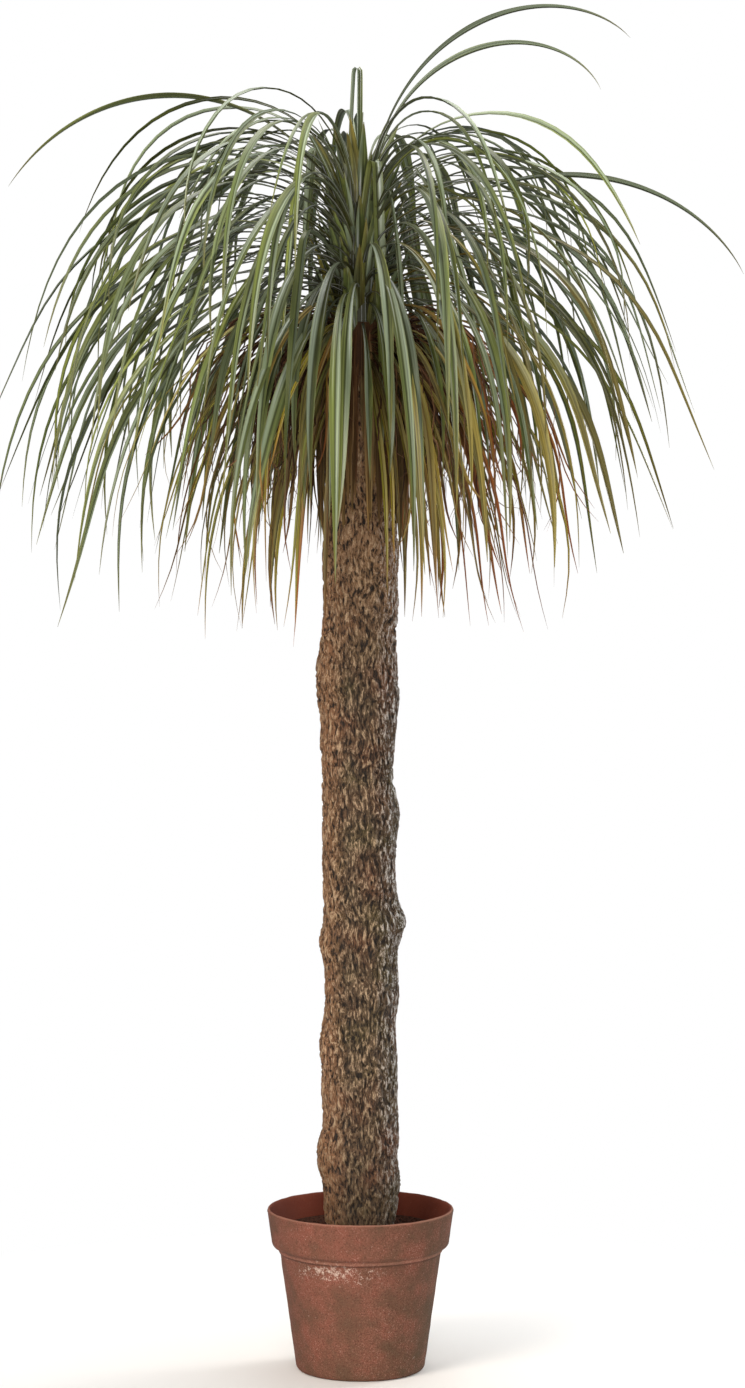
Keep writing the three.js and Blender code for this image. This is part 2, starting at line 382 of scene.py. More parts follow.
def add_node(
    tree: bpy.types.NodeTree,
    kind: str,
    inputs: dict[str | int, object] | None = None,
    **settings: object,
) -> Node:
    """Adds a node with its settings, values and links.

    Args:
        tree: the node tree.
        kind: the node's type name.
        inputs: a value, or the output that feeds it, for each named or numbered input. A
            node stands for its first output.
        settings: the node's own settings by name.

    Returns:
        The node.
    """
    node = tree.nodes.new(kind)
    for name, value in settings.items():
        setattr(node, name, value)
    for key, value in (inputs or {}).items():
        source = value.outputs[0] if isinstance(value, Node) else value
        if isinstance(source, bpy.types.NodeSocket):
            tree.links.new(source, node.inputs[key])
        else:
            node.inputs[key].default_value = source
    return node


def new_material(name: str) -> tuple[Material, NodeAdder]:
    """Makes an empty material.

    Args:
        name: the material's name.

    Returns:
        The material, and what adds a node to it.
    """
    material = bpy.data.materials.new(name)
    material.use_nodes = True
    material.node_tree.nodes.clear()
    return material, partial(add_node, material.node_tree)


def masked(node: NodeAdder, limits: tuple[tuple, ...]) -> Node:
    """Finds where several limits all hold.

    Args:
        node: adds a node to the material.
        limits: for each, what drives it, the two values that it is read between, and its
            results there.

    Returns:
        The node that multiplies the results.
    """
    ranges = [node(RANGE, dict(enumerate(limit))) for limit in limits]
    return reduce(lambda first, then: node(MATH, {0: first, 1: then}, operation="MULTIPLY"), ranges)


def coated(node: NodeAdder, base: str, coats: tuple[tuple, ...]) -> bpy.types.NodeSocket:
    """Lays coats of colour one over another.

    Args:
        node: adds a node to the material.
        base: the colour below all the coats.
        coats: for each, what drives it, where it starts, where it is full, how much it
            covers there, and its colour.

    Returns:
        The output that holds the colour.
    """
    colour = linear(base)
    for driver, start, full, most, tone in coats:
        share = node(RANGE, {0: driver, 1: start, 2: full, 4: most})
        colour = node(MIX, {0: share, 6: colour, 7: linear(tone)}, **COLOURS).outputs[2]
    return colour


@dataclass(frozen=True)
class Terracotta:
    """Unglazed fired clay, left outdoors: matt, mottled, lime bloom under the band; painted shade and
    highlights.
    """

    name: str = "weathered_terracotta"
    clay: str = "#824d3f"
    brown: str = "#674839"
    # Painted shade on the right-hand side, and darker towards the foot
    stain: str = "#4f4030"
    # Painted shade inside the rim
    inside: str = "#602616"
    # Painted highlight on the lip and along the bead below the band
    edge: str = "#a87866"
    # Dark pits, and the painted shade under the bead below the band
    pit: str = "#38211a"
    speck: str = "#c9a492"
    bloom: str = "#d2bfb0"
    roughness: float = 0.8
    specular: float = 0.15
    mottle_mm: float = 30.0
    speck_mm: float = 1.5
    crust_mm: float = 6.0
    pit_depth_mm: float = 0.7
    wall_bottom_mm: tuple[float, float] = (140.0, 91.5)
    wall_top_mm: tuple[float, float] = (180.0, 101.2)
    bead_mm: tuple[float, float] = (135.6, 133.2)
    bloom_centre_mm: tuple[float, float, float] = (-30.0, -84.0, 124.0)
    bloom_reach_mm: tuple[float, float, float] = (62.0, 70.0, 15.0)
    damp_side_mm: tuple[float, float] = (-30.0, 90.0)
    damp_foot_mm: float = 130.0
    worn_lip_mm: tuple[float, float] = (178.2, 179.4)

    def material(self) -> Material:
        """Mixes the clay.

        Returns:
            Its material.
        """
        material, node = new_material(self.name)
        place = node("ShaderNodeTexCoord").outputs["Object"]
        x, y, z = node("ShaderNodeSeparateXYZ", {0: place}).outputs
        grains = ((self.mottle_mm, 6.0, 0.62), (self.speck_mm, 4.0, 0.75), (self.crust_mm, 8.0, 0.85))
        mottle, specks, crust = (
            node(NOISE, {"Vector": place, "Scale": 1 / (size * MM), "Detail": detail, "Roughness": rough})
            for size, detail, rough in grains
        )
        # Painted shade on the right-hand side, and darker towards the foot, in blotches
        left, right = (value * MM for value in self.damp_side_mm)
        aside = node(RANGE, {0: x, 1: left, 2: right, 4: 0.6})
        foot = node(RANGE, {0: z, 1: self.damp_foot_mm * MM, 2: 0.0, 4: 0.45})
        shade_and_dark_foot = node(MATH, {0: aside, 1: foot}, operation="ADD")
        blotches = node(RANGE, {0: mottle, 1: 0.64, 2: 0.40, 3: 0.55, 4: 1.05})
        blotchy_shade_and_dark_foot = node(MATH, {0: shade_and_dark_foot, 1: blotches}, operation="MULTIPLY", use_clamp=True)
        # Pale grit, in drifts
        gritty = masked(node, ((specks, 0.55, 0.72, 0.0, 1.0), (mottle, 0.40, 0.64, 0.1, 0.6)))
        # Lime that has dried in a patch below the band
        centre = tuple(value * MM for value in self.bloom_centre_mm)
        reach = tuple(1 / (value * MM) for value in self.bloom_reach_mm)
        offset = node(VECTOR, {0: place, 1: centre}, operation="SUBTRACT")
        scaled = node(VECTOR, {0: offset, 1: reach}, operation="MULTIPLY")
        away = node(VECTOR, {0: scaled}, operation="LENGTH").outputs["Value"]
        near = node(RANGE, {0: away, 1: 1.25, 2: 0.0, 4: 0.16})
        limed = node(MATH, {0: crust, 1: near}, operation="ADD")
        # Painted highlight along the bead below the band, in patches, with painted shade under it
        high, low = (value * MM for value in self.bead_mm)
        over = (z, high + 1.2 * MM, high, 0.0, 1.0)
        under = (z, low - 0.6 * MM, low + 0.4 * MM, 0.0, 0.4)
        bead_highlight = masked(node, (over, under, (crust, 0.38, 0.55, 0.35, 1.0)))
        over = (z, low, low - 0.8 * MM, 0.0, 1.0)
        under = (z, low - 3.2 * MM, low - 1.2 * MM, 0.0, 0.55)
        shade_under_bead = masked(node, (over, under))
        # Painted shade inside the rim: nearer the axis than the middle of the wall
        (bottom, bottom_radius), (top, top_radius) = self.wall_bottom_mm, self.wall_top_mm
        flat = node("ShaderNodeCombineXYZ", {0: x, 1: y})
        radius = node(VECTOR, {0: flat}, operation="LENGTH").outputs["Value"]
        wall = (bottom, top, bottom_radius, top_radius)
        middle = node(RANGE, dict(enumerate((z, *(value * MM for value in wall)))))
        within = node(MATH, {0: radius, 1: middle}, operation="LESS_THAN")
        upper = node(MATH, {0: z, 1: bottom * MM}, operation="GREATER_THAN")
        shaded_inside = node(MATH, {0: within, 1: upper}, operation="MULTIPLY")
        coats = (
            (mottle, 0.32, 0.66, 1.0, self.clay),
            # Painted shade on the right-hand side, darker towards the foot
            (blotchy_shade_and_dark_foot, 0.0, 1.0, 1.0, self.stain),
            (specks, 0.47, 0.36, 0.6, self.pit),
            (gritty, 0.0, 1.0, 1.0, self.speck),
            (limed, 0.62, 0.72, 0.8, self.bloom),
            # Painted highlight along the lip
            (z, *(value * MM for value in self.worn_lip_mm), 0.5, self.edge),
            # Painted highlight along the bead, and painted shade under it
            (bead_highlight, 0.0, 1.0, 1.0, self.edge),
            (shade_under_bead, 0.0, 1.0, 1.0, self.pit),
            # Painted shade inside the rim
            (shaded_inside, 0.0, 1.0, 0.85, self.inside),
        )
        finish = {
            "Base Color": coated(node, self.brown, coats),
            "Roughness": self.roughness,
            "Specular IOR Level": self.specular,
            "Normal": node(BUMP, {"Height": specks, "Distance": self.pit_depth_mm * MM, "Strength": 0.7}),
        }
        node(SURFACE, {"Surface": node(SHADER, finish)})
        return material


@dataclass(frozen=True)
class Peat:
    """Peat potting mix: crumbly, dark red-brown and quite matt."""

    name: str = "peat_potting_mix"
    dark: str = "#1e0e08"
    light: str = "#4c2c1e"
    roughness: float = 0.95
    specular: float = 0.1
    grain_mm: float = 3.0
    depth_mm: float = 1.5

    def material(self) -> Material:
        """Mixes the soil.

        Returns:
            Its material.
        """
        material, node = new_material(self.name)
        place = node("ShaderNodeTexCoord").outputs["Object"]
        grain = node(NOISE, {"Vector": place, "Scale": 1 / (self.grain_mm * MM), "Detail": 5.0})
        finish = {
            "Base Color": coated(node, self.dark, ((grain, 0.35, 0.7, 1.0, self.light),)),
            "Roughness": self.roughness,
            "Specular IOR Level": self.specular,
            "Normal": node(BUMP, {"Height": grain, "Distance": self.depth_mm * MM, "Strength": 0.8}),
        }
        node(SURFACE, {"Surface": node(SHADER, finish)})
        return material


@dataclass(frozen=True)
class Bark:
    """Corky bark: matt, dark in its furrows, tan on its crests, both partly painted shade and highlight;
    painted light on its sides.
    """

    name: str = "furrowed_bark"
    # Dark in the furrows, partly painted shade
    furrow: str = "#1c130b"
    body: str = "#634d37"
    rusty: str = "#794e34"
    mossy: str = "#5e5231"
    # Painted light along the left-hand side
    worn: str = "#9a6d4a"
    # Pale on the crests, partly painted highlight
    crest: str = "#d6b894"
    # Painted highlight on the crests of the right-hand side
    grey: str = "#f4f3f0"
    # Painted light on the upper trunk
    sheltered: str = "#a47d5a"
    roughness: float = 0.6
    rib_mm: tuple[float, float] = (2.2, 10.5)
    wander_mm: float = 24.0
    wander: float = 5.5
    grain_mm: float = 1.0
    patch_mm: float = 45.0
    depth_mm: float = 2.2
    sheltered_mm: tuple[float, float] = (760.0, 920.0)
    worn_mm: tuple[float, float] = (-14.0, -36.0)
    grey_mm: tuple[float, float] = (16.0, 34.0)
    # Where the crests darken and turn mossy near the soil, partly painted shade
    mossy_mm: tuple[float, float] = (320.0, 170.0)

    def material(self) -> Material:
        """Mixes the bark. The "relief" attribute is 0 in a furrow and 1 on a crest.

        Returns:
            Its material.
        """
        material, node = new_material(self.name)
        place = node("ShaderNodeTexCoord").outputs["Object"]
        x, _, z = node("ShaderNodeSeparateXYZ", {0: place}).outputs
        relief = node("ShaderNodeAttribute", attribute_name="relief").outputs["Fac"]
        grain, patch, drift = (
            node(NOISE, {"Vector": place, "Scale": 1 / (size * MM), "Detail": detail})
            for size, detail in ((self.grain_mm, 2.0), (self.patch_mm, 3.0), (self.wander_mm, 1.0))
        )
        # Sharp ribs that run up the trunk and wander round its knots
        centred = node(VECTOR, {0: drift.outputs["Color"], 1: (0.5, 0.5, 0.5)}, operation="SUBTRACT")
        shift = node(VECTOR, {0: centred, "Scale": 2 * self.wander * MM}, operation="SCALE")
        wandered = node(VECTOR, {0: place, 1: shift}, operation="ADD")
        wide, long = (1 / (value * MM) for value in self.rib_mm)
        drawn = node(VECTOR, {0: wandered, 1: (wide, wide, long)}, operation="MULTIPLY")
        rib = node(NOISE, {"Vector": drawn, "Scale": 1.0, "Detail": 4.0, "Roughness": 0.66})
        ribs = node(RANGE, {0: rib, 1: 0.32, 2: 0.68})
        height = node(MATH, {0: relief, 1: 0.4, 2: ribs}, operation="MULTIPLY_ADD")
        spans = (self.sheltered_mm, self.worn_mm, self.grey_mm, self.mossy_mm)
        sheltered, worn, grey, mossy = ((start * MM, full * MM) for start, full in spans)
        cork_coats = (
            # Rusty where the outer cork has come off, mossy elsewhere
            (patch, 0.50, 0.66, 0.7, self.rusty),
            (patch, 0.48, 0.34, 0.7, self.mossy),
            # Painted light on the upper trunk, below the head
            (z, *sheltered, 0.9, self.sheltered),
            # Painted light, warm, along the left-hand side
            (x, *worn, 0.8, self.worn),
            # Dark furrows, partly painted shade
            (height, 0.68, 0.38, 1.0, self.furrow),
        )
        crest_coats = (
            # Painted highlight, whitish, on the crests of the right-hand side; darker and mossy near the
            # soil, partly painted shade
            (x, *grey, 1.0, self.grey),
            (z, *mossy, 0.7, self.mossy),
        )
        # Pale crests, partly painted highlight
        pale = masked(node, ((grain, 0.35, 0.6, 0.45, 1.0), (height, 0.79, 1.1, 0.0, 0.95)))
        cork = coated(node, self.body, cork_coats)
        crests = coated(node, self.crest, crest_coats)
        rough = node(MATH, {0: grain, 1: 0.25, 2: height}, operation="MULTIPLY_ADD")
        finish = {
            "Base Color": node(MIX, {0: pale, 6: cork, 7: crests}, **COLOURS).outputs[2],
            "Roughness": self.roughness,
            "Normal": node(BUMP, {"Height": rough, "Distance": self.depth_mm * MM, "Strength": 1.0}),
        }
        node(SURFACE, {"Surface": node(SHADER, finish)})
        return material


@dataclass(frozen=True)
class LeafSkin:
    """Leaf skin: painted light on one half, painted shade along the midline and the root, painted
    highlights along the arch, light margins.
    """

    name: str
    # Painted shade towards the leaf's root
    root: str
    young: str
    grown: str
    aged: str
    hanging: str
    # Painted light on one half of the leaf
    band: str
    margin: str
    # Painted shade along the midline
    groove: str
    tip: str
    # Painted highlights along the arch
    bloom: str
    dark_one: str
    bright_one: str
    roughness: float
    band_strength: float
    hang_strength: float
    bloom_strength: float
    sheen: float
    rib_depth_mm: float = 0.4

    def material(self) -> Material:
        """Mixes the leaf's skin.

        The uv map runs across the leaf in u and along it in v. The "leaf" attribute holds
        three draws for each leaf: its age, its brightness and its own pattern.

        Returns:
            Its material.
        """
        material, node = new_material(self.name)
        leaf_map = node("ShaderNodeUVMap", uv_map=LEAF_MAP)
        across, length = node("ShaderNodeSeparateXYZ", {0: leaf_map}).outputs[:2]
        leaf = node("ShaderNodeAttribute", attribute_name="leaf")
        age, level, own = node("ShaderNodeSeparateColor", {0: leaf.outputs["Color"]}).outputs[:3]
        # Fine ribs along the leaf, and patches
        where = node("ShaderNodeCombineXYZ", {0: across, 1: length, 2: own})
        drawn = node(VECTOR, {0: where, 1: (5.5, 2.2, 90.0)}, operation="MULTIPLY")
        ribs = node(NOISE, {"Vector": drawn, "Scale": 1.0, "Detail": 1.5})
        spaced = node(VECTOR, {0: where, 1: (1.6, 7.0, 60.0)}, operation="MULTIPLY")
        patches = node(NOISE, {"Vector": spaced, "Scale": 1.0, "Detail": 2.0})
        # Painted light on one greyer half, which lies on either side of the groove as the leaf's own draw
        # says
        off_middle = node(MATH, {0: across, 1: 0.5}, operation="SUBTRACT")
        aside = node(MATH, {0: off_middle}, operation="ABSOLUTE")
        lean = node(RANGE, {0: own, 3: -1.0, 4: 1.0})
        lit_half = node(MATH, {0: lean, 1: off_middle}, operation="MULTIPLY")
        # An old leaf is dry further up from its tip
        old = node(RANGE, {0: age, 1: 0.45, 2: 1.0, 4: 0.45})
        spent = node(MATH, {0: old, 1: length}, operation="ADD")
        # Painted highlights in broken whitish lines along the arch
        lines = ((aside, 0.1, 0.2, 0.0, 1.0), (aside, 0.44, 0.34, 0.0, 1.0), (ribs, 0.54, 0.64, 0.0, 1.0))
        arch_highlight = masked(node, (*lines, (length, 0.6, 0.3, 0.0, self.bloom_strength)))
        coats = (
            (age, 0.15, 0.5, 1.0, self.grown),
            (length, 0.25, 0.7, self.hang_strength, self.hanging),
            (age, 0.55, 0.95, 0.9, self.aged),
            # A few leaves are much darker, and a few much brighter, than the rest
            (own, 0.38, 0.08, 0.85, self.dark_one),
            (own, 0.72, 0.95, 0.85, self.bright_one),
            (patches, 0.5, 0.68, 0.4, self.margin),
            # Painted light on one half
            (lit_half, -0.03, 0.08, self.band_strength, self.band),
            (aside, 0.40, 0.46, 0.45, self.margin),
            # Painted shade along the midline
            (aside, 0.12, 0.05, 0.7, self.groove),
            (spent, 0.82, 1.1, 0.85, self.tip),
            # Painted shade towards the root, among the packed leaves
            (length, 0.34, 0.02, 0.75, self.root),
            # Painted highlights along the arch
            (arch_highlight, 0.0, 1.0, 1.0, self.bloom),
        )
        # Streaks, and a brighter or darker leaf
        light = masked(node, ((ribs, 0.34, 0.66, 0.6, 1.3), (level, 0.0, 1.0, 0.62, 1.25)))
        grey = node("ShaderNodeCombineColor", {0: light, 1: light, 2: light})
        colour = coated(node, self.young, coats)
        finish = {
            "Base Color": node(MIX, {0: 1.0, 6: colour, 7: grey}, **TIMES).outputs[2],
            "Roughness": self.roughness,
            "Specular IOR Level": self.sheen,
            "Normal": node(BUMP, {"Height": ribs, "Distance": self.rib_depth_mm * MM, "Strength": 0.5}),
        }
        node(SURFACE, {"Surface": node(SHADER, finish)})
        return material


# Tough green leaf with a waxy sheen: grey-green arches with painted highlights, yellower where old and
# hanging
GREEN_SKIN = LeafSkin(
    name="waxy_green_leaf", root="#403c14", young="#50534a", grown="#5b602f", aged="#8a6e22",
    hanging="#66753e", band="#899784", margin="#80864a", groove="#303717", tip="#80743a",
    bloom="#c8ced4", dark_one="#343814", bright_one="#7b8542", roughness=0.36, band_strength=0.65,
    hang_strength=0.75, bloom_strength=0.6, sheen=0.26,
)
# Dried leaf, papery and matt: olive to ochre, then orange-brown
DRY_SKIN = LeafSkin(
    name="dry_papery_leaf", root="#4c3c1c", young="#6a7838", grown="#8a7a32", aged="#9c5a24",
    hanging="#8a7034", band="#a4966a", margin="#a08a38", groove="#54401e", tip="#8c4e26",
    bloom="#b5ab78", dark_one="#4e2a1a", bright_one="#a89c28", roughness=0.6, band_strength=0.5,
    hang_strength=0.3, bloom_strength=0.2, sheen=0.3,
)
# Torn leaf base: papery, matt, tan to red-brown
SHEATH_SKIN = LeafSkin(
    name="torn_leaf_base", root="#5a3a22", young="#6e5c36", grown="#6a4c2c", aged="#543620",
    hanging="#78603a", band="#8c744c", margin="#62482a", groove="#3c2a18", tip="#84683c",
    bloom="#a88c66", dark_one="#50301c", bright_one="#a07a44", roughness=0.75, band_strength=0.4,
    hang_strength=0.4, bloom_strength=0.2, sheen=0.2,
)
# Torn leaf fibre: coarse, matt and dark red-brown
FIBRE_SKIN = LeafSkin(
    name="torn_leaf_fibre", root="#40281c", young="#4a2e22", grown="#684632", aged="#8a664c",
    hanging="#5c402f", band="#684a36", margin="#684a36", groove="#4a3222", tip="#86664a",
    bloom="#684a36", dark_one="#2c1c15", bright_one="#94704e", roughness=0.8, band_strength=0.0,
    hang_strength=0.3, bloom_strength=0.0, sheen=0.2,
)


@dataclass(frozen=True)
class WhiteBoard:
    """Matt white board that fades into the lit background at its edge."""

    name: str = "matt_white_board"
    paint: str = "#f6f5f3"
    roughness: float = 0.9
    fade_from: float = 0.12
    fade_to: float = 0.76

    def material(self) -> Material:
        """Paints the board.

        Returns:
            Its material.
        """
        material, node = new_material(self.name)
        board = node(SHADER, {"Base Color": linear(self.paint), "Roughness": self.roughness})
        place = node("ShaderNodeTexCoord").outputs["Object"]
        reach = node(VECTOR, {0: place}, operation="LENGTH").outputs["Value"]
        faded = node(RANGE, {0: reach, 1: self.fade_from, 2: self.fade_to})
        glow = node("ShaderNodeEmission", {"Strength": 1.0})
        node(SURFACE, {"Surface": node("ShaderNodeMixShader", {0: faded, 1: board, 2: glow})})
        return material


# ---------------------------------------------------------------------------------- pot


@dataclass
class FlowerPot:
    """Flower pot with a rim band, in millimetres."""

    height: float = 180
    rim_radius: float = 103.5
    lip: float = 4.5
    band_height: float = 40
    band_foot_radius: float = 98.5
    wall_top_radius: float = 90
    base_radius: float = 71
    foot_rounding: float = 4
    wall: float = 6
    base: float = 9
    segments: int = 144
    drain_circle: float = 42
    drain_radius: float = 6
    drain_count: int = 4

    @property
    def band_foot(self) -> float:
        """Height of the rim band's lower edge."""
        return self.height - self.band_height

    def inner_radius(self, height: float) -> float:
        """Measures the inner wall.

        Args:
            height: height above the ground.

        Returns:
            The wall's radius there.
        """
        shoulder = self.wall_top_radius - self.wall
        if height < self.band_foot:
            share = (height - self.base) / (self.band_foot - self.base)
            return mix(self.base_radius - self.wall + 1, shoulder, share)
        share = (height - self.band_foot) / self.band_height
        return mix(shoulder, self.rim_radius - self.lip, share)

    def build(self) -> Piece:
        """Turns the pot.

        Returns:
            The finished piece.
        """
        rounding = self.foot_rounding
        foot, top, under = self.band_foot, self.height, self.wall_top_radius
        profile = [
            (self.base_radius - rounding, 0),
            (self.base_radius - rounding * 0.3, rounding * 0.3),
            (self.base_radius + rounding * 0.15, rounding),
            (under - 0.9, foot - 9.5),
            (under + 0.6, foot - 8),
            (under + 1.4, foot - 6.4),
            (under + 1.4, foot - 4.4),
            (under + 2.4, foot - 2.8),
            (self.band_foot_radius - 2.4, foot - 1.4),
            (self.band_foot_radius - 0.6, foot + 0.6),
            (self.band_foot_radius, foot + 3.2),
            (self.rim_radius - 0.6, top - self.lip),
            (self.rim_radius, top - self.lip * 0.6),
            (self.rim_radius - self.lip * 0.3, top),
            (self.rim_radius - self.lip * 0.8, top),
            (self.inner_radius(top - self.lip * 0.6), top - self.lip * 0.6),
            (self.inner_radius(foot), foot),
            (self.inner_radius(self.base), self.base),
        ]
        pot = raised("clay_pot", stepped(profile, 4.0), self.segments)
        sharp = math.radians(20)
        modified(pot, "BEVEL", width=0.8 * MM, segments=2, limit_method="ANGLE", angle_limit=sharp)
        self.drain(pot)
        heights = points_of(pot)[:, 2] / MM
        weighted(pot, "wall", smoothstep(heights, 2, 12))
        pitted(pot, grain=14, depth=1.0, group="wall")
        return dressed(settled(pot), "pot", Terracotta().material())

    def drain(self, pot: Piece) -> None:
        """Cuts the drain holes through the pot's base.

        Args:
            pot: the pot, before its surface is made uneven.
        """
        drills = []
        for index in range(self.drain_count):
            angle = TURN * (index + 0.5) / self.drain_count
            place = (self.drain_circle * MM * math.cos(angle), self.drain_circle * MM * math.sin(angle), 0)
            chosen()
            bpy.ops.mesh.primitive_cylinder_add(
                vertices=32, radius=self.drain_radius * MM, depth=self.base * 3 * MM, location=place
            )
            drills.append(bpy.context.active_object)
        drill = joined(drills, "drill")
        modified(pot, "BOOLEAN", operation="DIFFERENCE", object=drill, solver="EXACT")
        bpy.data.objects.remove(drill)


# --------------------------------------------------------------------------------- soil


@dataclass
class PottingSoil:
    """Peat mix in the pot, with crumbs on its surface, in millimetres."""

    pot: FlowerPot
    below_rim: float = 24
    unevenness: float = 3
    crown: float = 4
    hole_floor: float = 62
    hole_radius: float = 37.8
    clearance: float = 0.6
    segments: int = 120
    crumbs: int = 420
    seed: int = 4409

    @property
    def top(self) -> float:
        """Height of the soil's level edge."""
        return self.pot.height - self.below_rim

    @property
    def edge(self) -> float:
        """Radius of the soil at its edge."""
        return self.pot.inner_radius(self.top) - self.clearance

    def relief(self, x: np.ndarray | float, y: np.ndarray | float) -> np.ndarray | float:
        """Measures the uneven surface, in millimetres.

        Args:
            x: place on the soil.
            y: place on the soil.

        Returns:
            The height there above the soil's edge.
        """
        lumps = np.sin(x / 9 + 1.3) * np.cos(y / 11 - 0.6) + 0.6 * np.sin((x + 2 * y) / 17)
        inward = 1 - np.hypot(x, y) / self.edge
        return self.unevenness * lumps * np.minimum(1, inward * 6) / 2 + self.crown * inward

    def build(self) -> list[Piece]:
        """Fills the pot.

        Returns:
            The finished soil and its crumbs.
        """
        floor = self.pot.base + 0.3
        profile = [
            (self.pot.inner_radius(floor) - self.clearance, floor),
            (self.pot.inner_radius(self.pot.band_foot) - self.clearance, self.pot.band_foot),
            (self.edge, self.top),
        ]
        across = [(self.edge, self.top), (self.hole_radius, self.top)]
        profile += stepped(across, 2.2)[1:]
        profile.append((self.hole_radius, self.hole_floor))
        soil = raised("soil_bed", profile, self.segments)
        places = points_of(soil)
        surface = places[:, 2] / MM > self.top - 1
        lift = self.relief(places[:, 0] / MM, places[:, 1] / MM) * MM
        places[surface, 2] += lift[surface]
        move_points(soil, places)
        radii = np.hypot(places[:, 0], places[:, 1]) / MM
        weighted(soil, "surface", surface * smoothstep(self.edge - radii, 0, 4))
        pitted(soil, grain=5, depth=3.0, group="surface")
        peat = Peat().material()
        return [dressed(piece, "soil", peat) for piece in (settled(soil), self.scatter())]

    def scatter(self) -> Piece:
        """Strews crumbs of peat and bark on the surface.

        Returns:
            The crumbs, as one piece.
        """
        chance = Chance(self.seed)
        chosen()
        bpy.ops.mesh.primitive_ico_sphere_add(subdivisions=1, radius=1)
        crumb = bpy.context.active_object
        with editing(crumb):
            pick(crumb, "faces", lambda face: face.normal.z > 0.7)
            bpy.ops.transform.translate(value=(0.15, 0, -0.35))
        shape = points_of(crumb)
        copies = []
        for _ in range(self.crumbs):
            copy = copied(crumb)
            size = chance.spread(0.8, 1.0 + 2.4 * chance.next() ** 2)
            reach = math.sqrt(chance.spread((self.hole_radius + 5) ** 2, (self.edge - 5) ** 2))
            angle = chance.spread(0, TURN)
            x, y = reach * math.cos(angle), reach * math.sin(angle)
            spin = chance.spread(0, TURN)
            turn = np.array([[math.cos(spin), -math.sin(spin)], [math.sin(spin), math.cos(spin)]])
            points = shape * size * np.array([chance.spread(0.8, 1.7), 1, chance.spread(0.5, 0.9)])
            points[:, :2] = points[:, :2] @ turn.T
            points += np.array([x, y, self.top + self.relief(x, y) + 0.5])
            move_points(copy, points * MM)
            copies.append(copy)
        bpy.data.objects.remove(crumb)
        return settled(joined(copies, "soil_crumbs"), crease=25)


# -------------------------------------------------------------------------------- trunk


